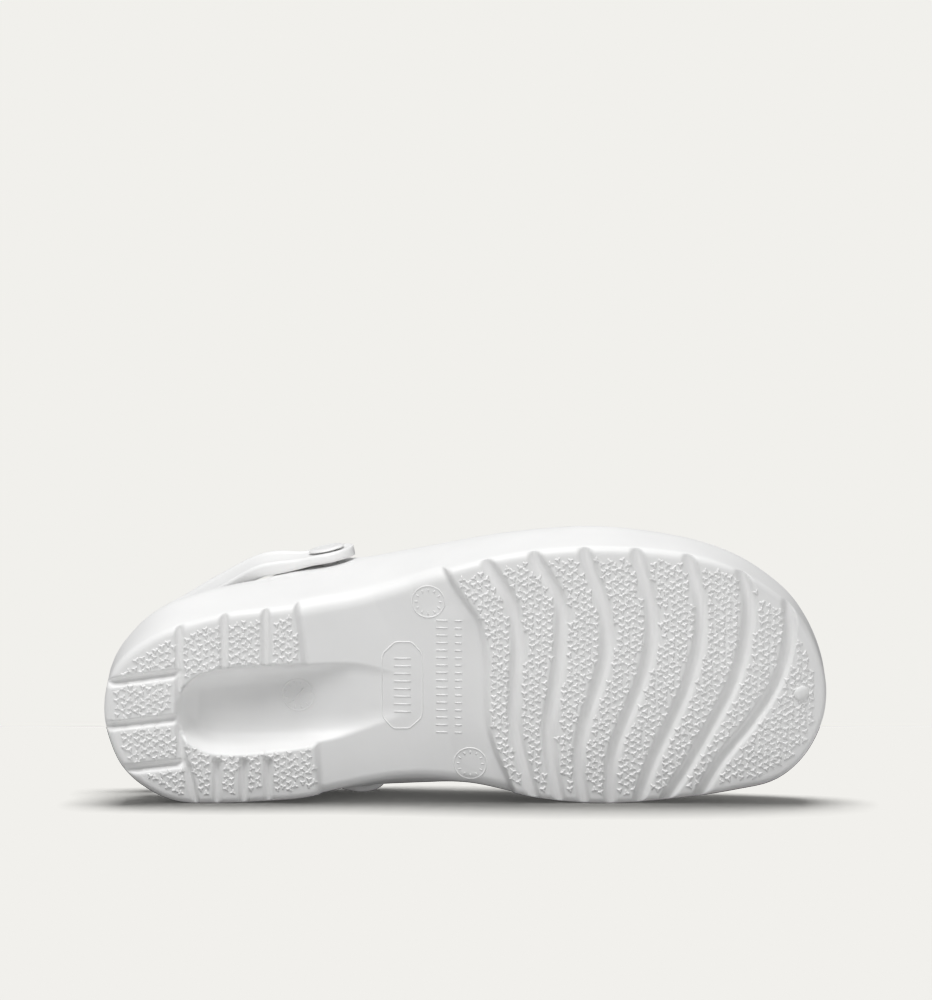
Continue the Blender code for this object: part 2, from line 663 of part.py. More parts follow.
def button_profile(reach):
    """A button's outer side, from its head down its shank to its inner head, from the wall's outer face.

    reach is how far in the wall's inner face comes under the inner head.
    """
    seat = STRAP_GAP + STRAP_THICKNESS + GAP
    inner = -reach - INNER_HEAD_GAP
    return [
        (0, seat + HEAD_THICKNESS),
        (HEAD_RADIUS * 0.80, seat + HEAD_THICKNESS * 0.88),
        (HEAD_RADIUS, seat + HEAD_THICKNESS * 0.45),
        (HEAD_RADIUS, seat),
        (SHANK_RADIUS, seat),
        (SHANK_RADIUS, inner),
        (INNER_HEAD_RADIUS, inner),
        (INNER_HEAD_RADIUS, inner - INNER_HEAD_THICKNESS),
        (0, inner - INNER_HEAD_THICKNESS),
    ]


def hole_profile(reach):
    """The running hole of a button's shank, through strap and wall."""
    radius = SHANK_RADIUS + GAP
    high = STRAP_GAP + STRAP_THICKNESS + CUT_OVERSHOOT
    low = -reach - CUT_OVERSHOOT
    return [(0, high), (radius, high), (radius, low), (0, low)]


def evaluated_points(objects):
    """All vertices of these objects, and the middle of their mass if they are all of one stuff."""
    graph = bpy.context.evaluated_depsgraph_get()
    points, volume, moment = [], 0.0, Vector((0, 0, 0))
    for item in objects:
        evaluated = item.evaluated_get(graph)
        mesh = evaluated.to_mesh()
        mesh.calc_loop_triangles()
        world = [item.matrix_world @ vertex.co for vertex in mesh.vertices]
        for triangle in mesh.loop_triangles:
            a, b, c = (world[i] for i in triangle.vertices)
            part = a.dot(b.cross(c)) / 6
            volume += part
            moment += part * (a + b + c) / 4
        points += world
        evaluated.to_mesh_clear()
    return points, moment / volume


def lying_matrix(objects):
    """The turn and shift that lay the shoe on its inner side, on the floor and centred over the origin."""
    points, centre = evaluated_points(objects)
    hull = bmesh.new()
    for point in points:
        hull.verts.new(point)
    made = bmesh.ops.convex_hull(hull, input=hull.verts)["geom"]
    faces = [item for item in made if isinstance(item, bmesh.types.BMFace)]
    steady = []
    for face in faces:
        a, b, c = (loop.vert.co for loop in list(face.loops)[:3])
        if face.normal.y > 0.7 and intersect_ray_tri(a, b, c, face.normal, centre, True):
            steady.append(face)
    down = max(steady, key=lambda face: face.normal.y).normal.copy()
    hull.free()
    up = -down
    ahead = (Vector((1, 0, 0)) - up * up.x).normalized()
    turn = Matrix((ahead, up.cross(ahead), up)).to_4x4()
    turned_points = np.array([turn @ point for point in points])
    low, high = turned_points.min(axis=0), turned_points.max(axis=0)
    shift = Vector((-(low[0] + high[0]) / 2, -(low[1] + high[1]) / 2, -low[2]))
    return Matrix.Translation(shift) @ turn


def main():
    for item in list(bpy.data.objects):
        bpy.data.objects.remove(item, do_unlink=True)
    parts = bpy.data.collections.new("clog")
    cutters = bpy.data.collections.new("cutters")
    for collection in (parts, cutters):
        bpy.context.scene.collection.children.link(collection)
    white = (0.90, 0.90, 0.89)
    shell = spokes()

    body = new_object("clog_body", body_mesh(shell), white, parts)
    insole = new_object("insole", insole_mesh(shell), (0.86, 0.86, 0.85), parts)

    pivots = {
        side: wall_near(shell, side, along * LENGTH, PIVOT_HEIGHT) for side, along in PIVOT_ALONG.items()
    }
    strap = new_object("heel_strap", strap_mesh(pivots), white, parts)

    underside = [waist_mesh(shell), cavity_mesh()]
    underside += [groove_mesh("forefoot_groove", path, GROOVE_WIDTH) for path in forefoot_paths()]
    underside += [groove_mesh("heel_groove", path, width) for path, width in heel_paths()]
    for data in underside:
        cutter = new_object(data.name, data, white, cutters, smooth=False)
        hide_cutter(cutter)
        cut(body, cutter)

    buttons = []
    for side, (point, normal) in pivots.items():
        reach = inner_reach(shell, point, normal)
        hole = turned(f"hole_{side}", hole_profile(reach), point, normal, white, cutters)
        hide_cutter(hole)
        cut(body, hole)
        cut(strap, hole)
        buttons.append(turned(f"strap_button_{side}", button_profile(reach), point, normal, white, parts))

    bpy.context.view_layer.update()
    stance = bpy.data.objects.new("stance", None)
    parts.objects.link(stance)
    laid = lying_matrix([body, insole, strap, *buttons])
    for item in [*parts.objects, *cutters.objects]:
        if item is not stance:
            item.parent = stance
    stance.matrix_world = laid


main()
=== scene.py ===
"""The finish of a moulded work clog, a right shoe that lies on its inner side with its sole to the front.

The shapes are made in the standing shoe's frame, with the heel at x = 0, the toe towards +x, the inner side
towards +y and the tread on z = 0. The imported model's own tread mounts say how the shoe lies in the scene.
"""

import json
import logging
import math
from collections import namedtuple
from collections.abc import Callable
from dataclasses import dataclass, field
from enum import Enum

import bpy
import numpy as np
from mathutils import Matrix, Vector


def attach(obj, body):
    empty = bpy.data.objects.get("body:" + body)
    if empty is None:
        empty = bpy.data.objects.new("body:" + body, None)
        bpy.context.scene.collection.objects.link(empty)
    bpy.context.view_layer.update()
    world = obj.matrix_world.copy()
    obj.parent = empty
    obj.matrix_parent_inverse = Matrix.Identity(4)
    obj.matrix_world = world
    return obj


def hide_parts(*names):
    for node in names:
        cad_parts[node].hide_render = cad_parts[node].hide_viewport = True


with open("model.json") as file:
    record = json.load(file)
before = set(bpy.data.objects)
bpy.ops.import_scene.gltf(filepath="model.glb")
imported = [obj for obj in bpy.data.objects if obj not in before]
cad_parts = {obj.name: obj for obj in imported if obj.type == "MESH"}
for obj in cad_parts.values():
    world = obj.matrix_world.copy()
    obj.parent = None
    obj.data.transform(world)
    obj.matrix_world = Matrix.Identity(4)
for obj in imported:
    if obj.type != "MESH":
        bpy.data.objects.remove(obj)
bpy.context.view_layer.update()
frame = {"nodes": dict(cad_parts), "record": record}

LOG = logging.getLogger("clog")
MM = 0.001
BODY = "root"

# One row for each spoke of the shell, from the toe round the outer side, the heel and the inner side.
# along and rim_along are shares of the length; across, flare and rim_across are shares of the width; wide and
# rim_up are shares of the throat's height. slope is how many degrees below level the upper leaves the collar.
Station = namedtuple("Station", "along across flare wide rim_along rim_across rim_up slope")
STATION_ROWS = (
    Station(0.989, 0.085, 0.030, 0.295, 0.465, 0.085, 1.000, 20),
    Station(0.982, -0.030, 0.030, 0.295, 0.463, 0.042, 0.998, 20),
    Station(0.962, -0.155, 0.028, 0.295, 0.459, 0.005, 0.992, 21),
    Station(0.932, -0.258, 0.025, 0.295, 0.455, -0.033, 0.985, 22),
    Station(0.873, -0.368, 0.021, 0.295, 0.442, -0.090, 0.968, 24),
    Station(0.796, -0.426, 0.028, 0.295, 0.427, -0.137, 0.947, 28),
    Station(0.687, -0.448, 0.038, 0.300, 0.404, -0.189, 0.915, 36),
    Station(0.575, -0.426, 0.036, 0.320, 0.376, -0.236, 0.881, 46),
    Station(0.476, -0.366, 0.040, 0.364, 0.345, -0.269, 0.841, 58),
    Station(0.407, -0.307, 0.050, 0.432, 0.320, -0.278, 0.801, 68),
    Station(0.353, -0.269, 0.048, 0.477, 0.291, -0.270, 0.739, 76),
    Station(0.298, -0.247, 0.040, 0.477, 0.258, -0.263, 0.659, 82),
    Station(0.244, -0.226, 0.042, 0.432, 0.224, -0.246, 0.585, 86),
    Station(0.175, -0.206, 0.050, 0.364, 0.175, -0.235, 0.523, 88),
    Station(0.116, -0.168, 0.056, 0.318, 0.122, -0.205, 0.489, 90),
    Station(0.073, -0.123, 0.050, 0.295, 0.080, -0.133, 0.477, 90),
    Station(0.036, -0.054, 0.034, 0.284, 0.045, -0.051, 0.477, 90),
    Station(0.015, 0.028, 0.025, 0.273, 0.025, 0.038, 0.477, 90),
    Station(0.009, 0.123, 0.024, 0.273, 0.020, 0.123, 0.477, 90),
    Station(0.014, 0.212, 0.025, 0.273, 0.024, 0.217, 0.477, 90),
    Station(0.031, 0.315, 0.028, 0.284, 0.038, 0.321, 0.477, 90),
    Station(0.060, 0.390, 0.030, 0.295, 0.065, 0.401, 0.477, 90),
    Station(0.102, 0.441, 0.038, 0.318, 0.107, 0.460, 0.486, 90),
    Station(0.160, 0.447, 0.040, 0.364, 0.160, 0.483, 0.511, 88),
    Station(0.218, 0.440, 0.046, 0.432, 0.209, 0.493, 0.568, 86),
    Station(0.276, 0.427, 0.072, 0.511, 0.245, 0.488, 0.636, 82),
    Station(0.335, 0.387, 0.135, 0.568, 0.282, 0.466, 0.716, 74),
    Station(0.393, 0.354, 0.164, 0.568, 0.316, 0.455, 0.790, 64),
    Station(0.451, 0.349, 0.158, 0.545, 0.345, 0.434, 0.841, 54),
    Station(0.520, 0.377, 0.108, 0.477, 0.371, 0.410, 0.875, 48),
    Station(0.604, 0.429, 0.052, 0.364, 0.396, 0.358, 0.909, 38),
    Station(0.698, 0.447, 0.040, 0.300, 0.418, 0.302, 0.938, 31),
    Station(0.796, 0.427, 0.030, 0.295, 0.436, 0.245, 0.964, 26),
    Station(0.873, 0.400, 0.028, 0.295, 0.449, 0.193, 0.980, 23),
    Station(0.924, 0.373, 0.026, 0.295, 0.457, 0.160, 0.991, 21),
    Station(0.960, 0.302, 0.025, 0.295, 0.462, 0.129, 0.997, 20),
    Station(0.982, 0.198, 0.027, 0.295, 0.465, 0.106, 1.000, 20),
)

# Forefoot grooves: each row's places along the shoe at the widths of GROOVE_ACROSS.
GROOVE_ACROSS = (-0.500, -0.425, -0.278, -0.132, 0.019, 0.165, 0.311, 0.448, 0.510)
GROOVE_ROWS = (
    (0.515, 0.527, 0.562, 0.572, 0.568, 0.567, 0.579, 0.594, 0.602),
    (0.588, 0.598, 0.630, 0.631, 0.624, 0.615, 0.618, 0.629, 0.636),
    (0.660, 0.668, 0.688, 0.695, 0.683, 0.665, 0.656, 0.663, 0.668),
    (0.732, 0.738, 0.754, 0.756, 0.742, 0.720, 0.702, 0.701, 0.704),
    (0.801, 0.808, 0.823, 0.822, 0.808, 0.785, 0.759, 0.741, 0.738),
    (0.868, 0.875, 0.890, 0.886, 0.871, 0.843, 0.812, 0.779, 0.766),
    (0.930, 0.936, 0.944, 0.947, 0.932, 0.898, 0.853, 0.823, 0.812),
)

# Lines across the sole, as (across, along) corners, that the fine mesh's rows follow besides the grooves.
WAIST_START = ((-0.45, 0.462), (-0.36, 0.478), (-0.27, 0.496), (-0.16, 0.519), (-0.05, 0.527),
               (0.07, 0.528), (0.20, 0.532), (0.27, 0.542), (0.36, 0.558), (0.50, 0.582))
WAIST_END = ((-0.29, 0.262), (-0.20, 0.270), (-0.10, 0.275), (0.05, 0.280), (0.20, 0.287),
             (0.30, 0.293), (0.40, 0.296), (0.55, 0.298))
HEEL_LINES = (
    ((-0.5, 0.224), (0.0, 0.224), (0.24, 0.226), (0.55, 0.226)),
    ((-0.5, 0.167), (0.01, 0.167), (0.24, 0.155), (0.55, 0.155)),
    ((-0.5, 0.105), (0.245, 0.105), (0.351, 0.115), (0.50, 0.128)),
)

# Heel grooves: the width in millimetres and the corners of each path, along and across.
HeelGroove = namedtuple("HeelGroove", "width path")
HEEL_GROOVES = (
    HeelGroove(3.2, ((0.105, -0.230), (0.105, 0.245), (0.115, 0.351), (0.128, 0.500))),
    HeelGroove(3.8, ((-0.010, 0.030), (0.104, -0.011))),
    HeelGroove(3.8, ((-0.010, 0.189), (0.104, 0.155))),
    HeelGroove(3.8, ((0.005, 0.352), (0.106, 0.322))),
    HeelGroove(3.2, ((0.167, -0.290), (0.167, 0.010))),
    HeelGroove(3.2, ((0.224, -0.310), (0.224, 0.000))),
    HeelGroove(3.2, ((0.155, 0.318), (0.155, 0.510))),
    HeelGroove(3.2, ((0.192, 0.318), (0.192, 0.520))),
    HeelGroove(3.2, ((0.226, 0.315), (0.226, 0.530))),
)

# The waist: at each share across it, where the heel's tread ends and the forefoot's begins.
Waist = namedtuple("Waist", "across heel_end tread_start")
WAIST_ROWS = (
    Waist(-1.15, 0.262, 0.462),
    Waist(-0.90, 0.267, 0.478),
    Waist(-0.70, 0.271, 0.496),
    Waist(-0.45, 0.275, 0.519),
    Waist(-0.15, 0.280, 0.527),
    Waist(0.15, 0.287, 0.528),
    Waist(0.45, 0.293, 0.532),
    Waist(0.65, 0.295, 0.542),
    Waist(0.85, 0.296, 0.558),
    Waist(1.15, 0.298, 0.582),
)
ARCH_SHARES = (0.58, 0.85, 1.0, 0.90, 0.56)

# The hollow under the heel: its middle across, and its width and depth as shares of the hollow's own sizes.
Hollow = namedtuple("Hollow", "along across width depth")
HOLLOW_ROWS = (
    Hollow(0.097, 0.137, 0.22, 0.00),
    Hollow(0.105, 0.137, 0.36, 0.45),
    Hollow(0.110, 0.137, 0.56, 0.76),
    Hollow(0.122, 0.134, 0.75, 0.93),
    Hollow(0.140, 0.132, 0.90, 1.00),
    Hollow(0.165, 0.130, 0.97, 1.00),
    Hollow(0.200, 0.124, 1.00, 0.95),
    Hollow(0.240, 0.117, 0.98, 0.84),
    Hollow(0.280, 0.108, 0.95, 0.69),
    Hollow(0.320, 0.097, 0.92, 0.55),
    Hollow(0.355, 0.085, 0.84, 0.45),
    Hollow(0.390, 0.080, 0.66, 0.38),
    Hollow(0.425, 0.078, 0.50, 0.20),
    Hollow(0.450, 0.078, 0.40, 0.00),
)
HOLLOW_PROFILE = ((0.00, 1.00), (0.40, 1.00), (0.58, 0.97), (0.72, 0.90), (0.83, 0.76), (0.91, 0.54),
                  (0.965, 0.27), (1.005, 0.08), (1.05, 0.00))

# The heel strap's middle line: along, across, and up as a share of the pivots' height.
StrapPoint = namedtuple("StrapPoint", "along across up")
PIVOT_ALONG = {"lateral": 0.308, "medial": 0.351}
STRAP_ROWS = (
    StrapPoint(0.214, -0.277, 1.035),
    StrapPoint(0.158, -0.198, 1.065),
    StrapPoint(0.105, -0.110, 1.090),
    StrapPoint(0.055, -0.035, 1.100),
    StrapPoint(0.027, 0.040, 1.100),
    StrapPoint(0.020, 0.118, 1.100),
    StrapPoint(0.027, 0.200, 1.100),
    StrapPoint(0.055, 0.290, 1.100),
    StrapPoint(0.105, 0.385, 1.090),
    StrapPoint(0.165, 0.455, 1.065),
    StrapPoint(0.228, 0.520, 1.035),
)

# A button's outline round its axis: the head, as millimetres out and shares of the head's height, and then the
# shank and the inner end, as millimetres out and up.
BUTTON_HEAD = ((0, 0.93), (1.6, 0.95), (2.6, 1.0), (3.0, 0.84), (3.5, 0.84), (3.9, 1.0), (5.2, 0.93), (6.3, 0.74),
               (6.8, 0.48), (7.0, 0.2), (6.9, 0.0182), (6.5, 0), (3.0, 0))
BUTTON_FOOT = ((3.0, 1.2), (5.2, 1.2), (5.5, 0.9), (5.5, 0.3), (5.1, 0), (0, 0))


class Side(Enum):
    """The two sides of the shoe, by the way that faces out."""

    LATERAL = "lateral"
    MEDIAL = "medial"


def smooth_step(values: np.ndarray) -> np.ndarray:
    """An ease from 0 to 1, flat at both ends."""
    share = np.clip(values, 0.0, 1.0)
    return share * share * (3 - 2 * share)


def spline(points: np.ndarray, fine: int, closed: bool) -> np.ndarray:
    """Smooths a path through its points.

    Args:
        points: The path's points, one per row.
        fine: How many samples each stretch gets.
        closed: Whether the path comes back to its start.

    Returns:
        The samples, one per row, the end included.
    """
    if closed:
        padded = np.vstack([points[-1:], points, points[:2]])
    else:
        padded = np.vstack([2 * points[0] - points[1], points, 2 * points[-1] - points[-2]])
    t = (np.arange(fine) / fine)[:, None]
    samples = []
    for before, start, end, after in zip(padded, padded[1:], padded[2:], padded[3:]):
        cubic = -before + 3 * start - 3 * end + after
        square = 2 * before - 5 * start + 4 * end - after
        samples.append(0.5 * (2 * start + (end - before) * t + square * t**2 + cubic * t**3))
    return np.vstack([*samples, padded[-2:-1]])


def unit(vectors: np.ndarray) -> np.ndarray:
    """One vector, or one for each row, at length one."""
    return vectors / np.linalg.norm(vectors, axis=-1, keepdims=True)


def circle(count: int) -> np.ndarray:
    """Evenly spaced turns once round, in radians."""
    return np.arange(count) * 2 * math.pi / count


def arc_lengths(path: np.ndarray, columns: int) -> np.ndarray:
    """The length along a path at each of its points, by its first columns."""
    steps = np.linalg.norm(np.diff(path[:, :columns], axis=0), axis=1)
    return np.concatenate([[0.0], np.cumsum(steps)])


def read_at(places: np.ndarray, length: np.ndarray, path: np.ndarray) -> np.ndarray:
    """The path's rows at these lengths along it."""
    return np.stack([np.interp(places, length, column) for column in path.T], axis=-1)


def ring_faces(rows: int, count: int, start: int = 0) -> np.ndarray:
    """Quads that join each ring of a stack of rings to the next.

    Args:
        rows: How many rings there are.
        count: How many points each has.
        start: The first ring's first point.

    Returns:
        Four point numbers a row.
    """
    i = np.arange(count)
    k = (i + 1) % count
    low = start + np.arange(rows - 1)[:, None] * count
    quads = np.stack([low + i, low + k, low + count + k, low + count + i], axis=-1)
    return quads.reshape(-1, 4)


@dataclass
class Stance:
    """How the standing shoe lies in the scene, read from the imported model's two tread mounts."""

    heel_point: tuple[float, float, float] = (15.0 * MM, 9.5 * MM, 0.0)
    forefoot_point: tuple[float, float, float] = (196.0 * MM, 0.0, 0.0)
    turn: np.ndarray = field(init=False)
    shift: np.ndarray = field(init=False)

    def __post_init__(self) -> None:
        """Fits the turn and the shift to the mounts."""
        mounts = {row["name"]: row for row in frame["record"]["mounts"]}
        heel, front = (np.array(mounts[name]["pos_m"], float) for name in ("heel_tread", "forefoot_tread"))
        up = unit(-np.array(mounts["heel_tread"]["axis"], float))
        run = front - heel
        run = unit(run - up * run.dot(up))
        own = unit(np.array(self.forefoot_point) - np.array(self.heel_point))
        across = np.cross(up, run)
        ahead = run * own[0] - across * own[1]
        self.turn = np.stack([ahead, np.cross(up, ahead), up], axis=1)
        self.shift = heel - self.turn @ np.array(self.heel_point)

    def place(self, points: np.ndarray) -> np.ndarray:
        """The shoe's own points in the scene."""
        return points @ self.turn.T + self.shift


def add_object(name: str, data: bpy.types.ID | None) -> bpy.types.Object:
    """Makes an object and links it to the scene."""
    made = bpy.data.objects.new(name, data)
    bpy.context.scene.collection.objects.link(made)
    return made


def corner_points(mesh: bpy.types.Mesh) -> np.ndarray:
    """A mesh's points, one per row."""
    points = np.empty(len(mesh.vertices) * 3)
    mesh.vertices.foreach_get("co", points)
    return points.reshape(-1, 3)


def make_piece(name: str, points: np.ndarray, faces: list, stance: Stance) -> bpy.types.Object:
    """Makes a smooth mesh object in the scene from points in the shoe's own frame.

    Args:
        name: The piece's name.
        points: Its points.
        faces: Its faces, as rows of point numbers.
        stance: How the shoe lies.

    Returns:
        The new object, at the origin.
    """
    mesh = bpy.data.meshes.new(name)
    mesh.from_pydata(stance.place(points).tolist(), [], faces)
    mesh.validate()
    mesh.shade_smooth()
    return add_object(name, mesh)


def face_out(made: bpy.types.Object) -> None:
    """Turns a closed mesh's faces so that they all point out."""
    mesh = made.data
    mesh.calc_loop_triangles()
    index = np.empty(len(mesh.loop_triangles) * 3, np.int32)
    mesh.loop_triangles.foreach_get("vertices", index)
    a, b, c = corner_points(mesh)[index.reshape(-1, 3)].transpose(1, 0, 2)
    if np.einsum("ij,ij->i", a, np.cross(b, c)).sum() < 0:
        mesh.flip_normals()


@dataclass
class Last:
    """The shoe's outline and overall heights."""

    length: float = 275 * MM
    width: float = 106 * MM
    throat_height: float = 88 * MM
    toe_spring: float = 8 * MM
    flat_end: float = 0.782
    heel_floor: float = 22 * MM
    ball_floor: float = 12.5 * MM
    floor_drop: tuple[float, float] = (0.27, 0.56)
    row_step: float = 0.76 * MM
    smoothing: int = 24
    samples: np.ndarray = field(init=False)
    arc: np.ndarray = field(init=False)
    heel_arc: float = field(init=False)

    def __post_init__(self) -> None:
        """Smooths the outline's table."""
        scale = np.array([self.length, self.width, self.width, self.throat_height] * 2)
        scale[4:] = self.length, self.width, self.throat_height, 1
        rows = np.array(STATION_ROWS, float) * scale
        self.samples = spline(rows, self.smoothing, closed=True)
        self.arc = arc_lengths(self.samples, 2)
        self.heel_arc = self.arc[int(np.argmin(rows[:, 0])) * self.smoothing]

    def tread_height(self, x: np.ndarray) -> np.ndarray:
        """Height of the tread: flat to the ball, then rising to the toe."""
        share = (x / self.length - self.flat_end) / (1 - self.flat_end)
        return self.toe_spring * np.maximum(0.0, share) ** 2

    def floor_height(self, x: np.ndarray) -> np.ndarray:
        """Height of the moulded floor inside: level under the heel, then down to the ball."""
        start, end = self.floor_drop
        ease = smooth_step((x / self.length - start) / (end - start))
        return self.heel_floor + (self.ball_floor - self.heel_floor) * ease + self.tread_height(x)

    def crossing(self, line: np.ndarray, side: Side) -> float:
        """Where a line across the sole meets the tread's edge.

        Args:
            line: The line's corners, across and along in metres.
            side: The side of the shoe it meets.

        Returns:
            The length round the outline from the toe.
        """
        chosen = self.arc <= self.heel_arc if side is Side.LATERAL else self.arc >= self.heel_arc
        arc, x, y = self.arc[chosen], self.samples[chosen, 0], self.samples[chosen, 1]
        if side is Side.MEDIAL:
            arc, x, y = arc[::-1], x[::-1], y[::-1]
        gap = x - np.interp(y, line[:, 0], line[:, 1])
        after = int(np.argmax(gap < 0))
        share = gap[after - 1] / (gap[after - 1] - gap[after])
        return float(arc[after - 1] + (arc[after] - arc[after - 1]) * share)

    def key_lines(self) -> list[np.ndarray]:
        """The lines across the sole, from toe to heel, that the mesh's rows follow."""
        scale = np.array([self.width, self.length])
        grooves = [np.stack([GROOVE_ACROSS, row], axis=1) for row in GROOVE_ROWS[::-1]]
        others = [np.array(line) for line in (WAIST_START, WAIST_END, *HEEL_LINES)]
        return [spline(line * scale, 8, closed=False) for line in [*grooves, *others]]

    def rows(self, columns: int) -> tuple[np.ndarray, np.ndarray, np.ndarray]:
        """The rows that cross the sole from toe to heel.

        Args:
            columns: How many steps each row has.

        Returns:
            The rows' ends on the outer side and on the inner side, as lengths round the outline, and how far
            each row bows ahead of the straight line between its ends, at each column.
        """
        shares = np.linspace(0, 1, columns + 1)
        outer, inner, bows = [0.0], [self.arc[-1]], [np.zeros(columns + 1)]
        for line in self.key_lines():
            ends = [self.crossing(line, side) for side in (Side.LATERAL, Side.MEDIAL)]
            (x0, y0), (x1, y1) = (read_at(np.array([end]), self.arc, self.samples[:, :2])[0] for end in ends)
            across = y0 + (y1 - y0) * shares
            bows.append(np.interp(across, line[:, 0], line[:, 1]) - (x0 + (x1 - x0) * shares))
            outer.append(ends[0])
            inner.append(ends[1])
        outer.append(self.heel_arc)
        inner.append(self.heel_arc)
        bows.append(np.zeros(columns + 1))
        places = [0.0]
        for k in range(len(outer) - 1):
            gap = (outer[k + 1] - outer[k] + inner[k] - inner[k + 1]) / 2
            steps = max(2, round(gap / self.row_step))
            places += list(k + np.arange(1, steps + 1) / steps)
        keys = np.arange(len(outer))
        places = np.array(places)
        eased = np.where(places < 1, places**2, places)
        left = keys[-1] - places
        eased = np.where(left < 1, keys[-1] - left**2, eased)
        bow = read_at(eased, keys, np.array(bows))
        return np.interp(places, keys, outer), np.interp(places, keys, inner), bow


@dataclass
class Shell:
    """The moulding's walls as spokes round the tread, all worked out together."""

    last: Last
    places: np.ndarray
    wall: float = 4.5 * MM
    side_wall: float = 6 * MM
    edge_round: float = 3 * MM
    rise_handle: float = 0.40
    reach_handle: float = 0.48
    tangent_span: float = 5 * MM
    round_rings: int = 7
    side_rings: int = 8
    arch_rings: int = 22
    lip_rings_across: int = 6
    inner_arch_rings: int = 14

    def __post_init__(self) -> None:
        """Reads the spokes from the outline."""
        total = self.last.arc[-1]
        rows = read_at(self.places, self.last.arc, self.last.samples)
        ahead = read_at((self.places + self.tangent_span) % total, self.last.arc, self.last.samples[:, :2])
        behind = read_at((self.places - self.tangent_span) % total, self.last.arc, self.last.samples[:, :2])
        along = ahead - behind
        self.out = unit(np.stack([-along[:, 1], along[:, 0], np.zeros(len(rows))], axis=1))
        self.edge = np.stack([rows[:, 0], rows[:, 1], self.last.tread_height(rows[:, 0])], axis=1)
        self.flare = rows[:, 2]
        self.round = np.minimum(self.edge_round, self.flare)
        self.wide = rows[:, 3]
        self.rim = rows[:, 4:7]
        away = self.edge - self.rim + self.out * self.flare[:, None]
        away[:, 2] = 0
        away = unit(away)
        self.lean = np.radians(rows[:, 7])
        up = np.array([0, 0, 1.0])
        self.rim_tangent = away * np.cos(self.lean)[:, None] - up * np.sin(self.lean)[:, None]
        self.rim_normal = away * np.sin(self.lean)[:, None] + up * np.cos(self.lean)[:, None]

    def side(self, height: np.ndarray, depth: float = 0.0) -> np.ndarray:
        """The walls' points at these heights, depth inside their outer faces."""
        climb = np.maximum(height - self.edge[:, 2], 0)
        low = np.sqrt(np.maximum(self.round**2 - (self.round - climb) ** 2, 0))
        share = np.clip((climb - self.round) / (self.wide - self.edge[:, 2] - self.round), 0, 1)
        high = self.round + (self.flare - self.round) * share * (1.25 - 0.25 * share**2)
        offset = np.where(climb < self.round, low, high)
        point = self.edge + self.out * (offset - depth)[:, None]
        point[:, 2] = height
        return point

    def arch(self, t: float, depth: float = 0.0) -> np.ndarray:
        """The upper's points at t, from the widest line to the collar, depth inside its outer face."""
        low = self.side(self.wide, depth)
        high = self.rim - self.rim_normal * depth
        shrink = depth * np.cos(self.lean)
        first = self.rise_handle * (self.rim[:, 2] - self.wide - shrink)
        second = self.reach_handle * (np.linalg.norm(self.rim - self.side(self.wide), axis=1) - shrink)
        spread = 0.5 * (self.flare - self.round) / (self.wide - self.edge[:, 2] - self.round)
        ahead = np.array([0, 0, 1.0]) + self.out * spread[:, None]
        one = low + ahead * first[:, None]
        two = high + self.rim_tangent * second[:, None]
        s = 1 - t
        return s**3 * low + 3 * s * s * t * one + 3 * s * t * t * two + t**3 * high

    def outer_rings(self) -> list[np.ndarray]:
        """The outer face, from the tread's edge up to the collar."""
        low = self.edge[:, 2]
        turns = np.linspace(0, math.pi / 2, self.round_rings)
        rings = [self.side(low + self.round * (1 - math.cos(turn))) for turn in turns]
        for share in np.linspace(0, 1, self.side_rings + 2)[1:-1]:
            rings.append(self.side(low + self.round + (self.wide - low - self.round) * share))
        return rings + [self.arch(t) for t in np.linspace(0, 1, self.arch_rings)]

    def lip_rings(self) -> list[np.ndarray]:
        """The rounded lip of the collar."""
        middle = self.rim - self.rim_normal * self.wall / 2
        rings = []
        for turn in np.linspace(0, math.pi, self.lip_rings_across + 2)[1:-1]:
            ahead = -self.rim_tangent * math.sin(turn) + self.rim_normal * math.cos(turn)
            rings.append(middle + ahead * self.wall / 2)
        return rings

    def inner_rings(self) -> list[np.ndarray]:
        """The inner face, from the collar down to the floor's edge."""
        rings = [self.arch(1 - t, self.wall) for t in np.linspace(0, 1, self.inner_arch_rings)]
        foot = self.floor_edge(self.side_wall)
        rings.append(self.side((foot[:, 2] + self.wide) / 2, (self.wall + self.side_wall) / 2))
        rings.append(foot)
        return rings

    def floor_edge(self, depth: float) -> np.ndarray:
        """The points at the floor's height that lie depth inside the outer face."""
        point = self.side(self.last.floor_height(self.edge[:, 0]), depth)
        point[:, 2] = self.last.floor_height(point[:, 0])
        return point


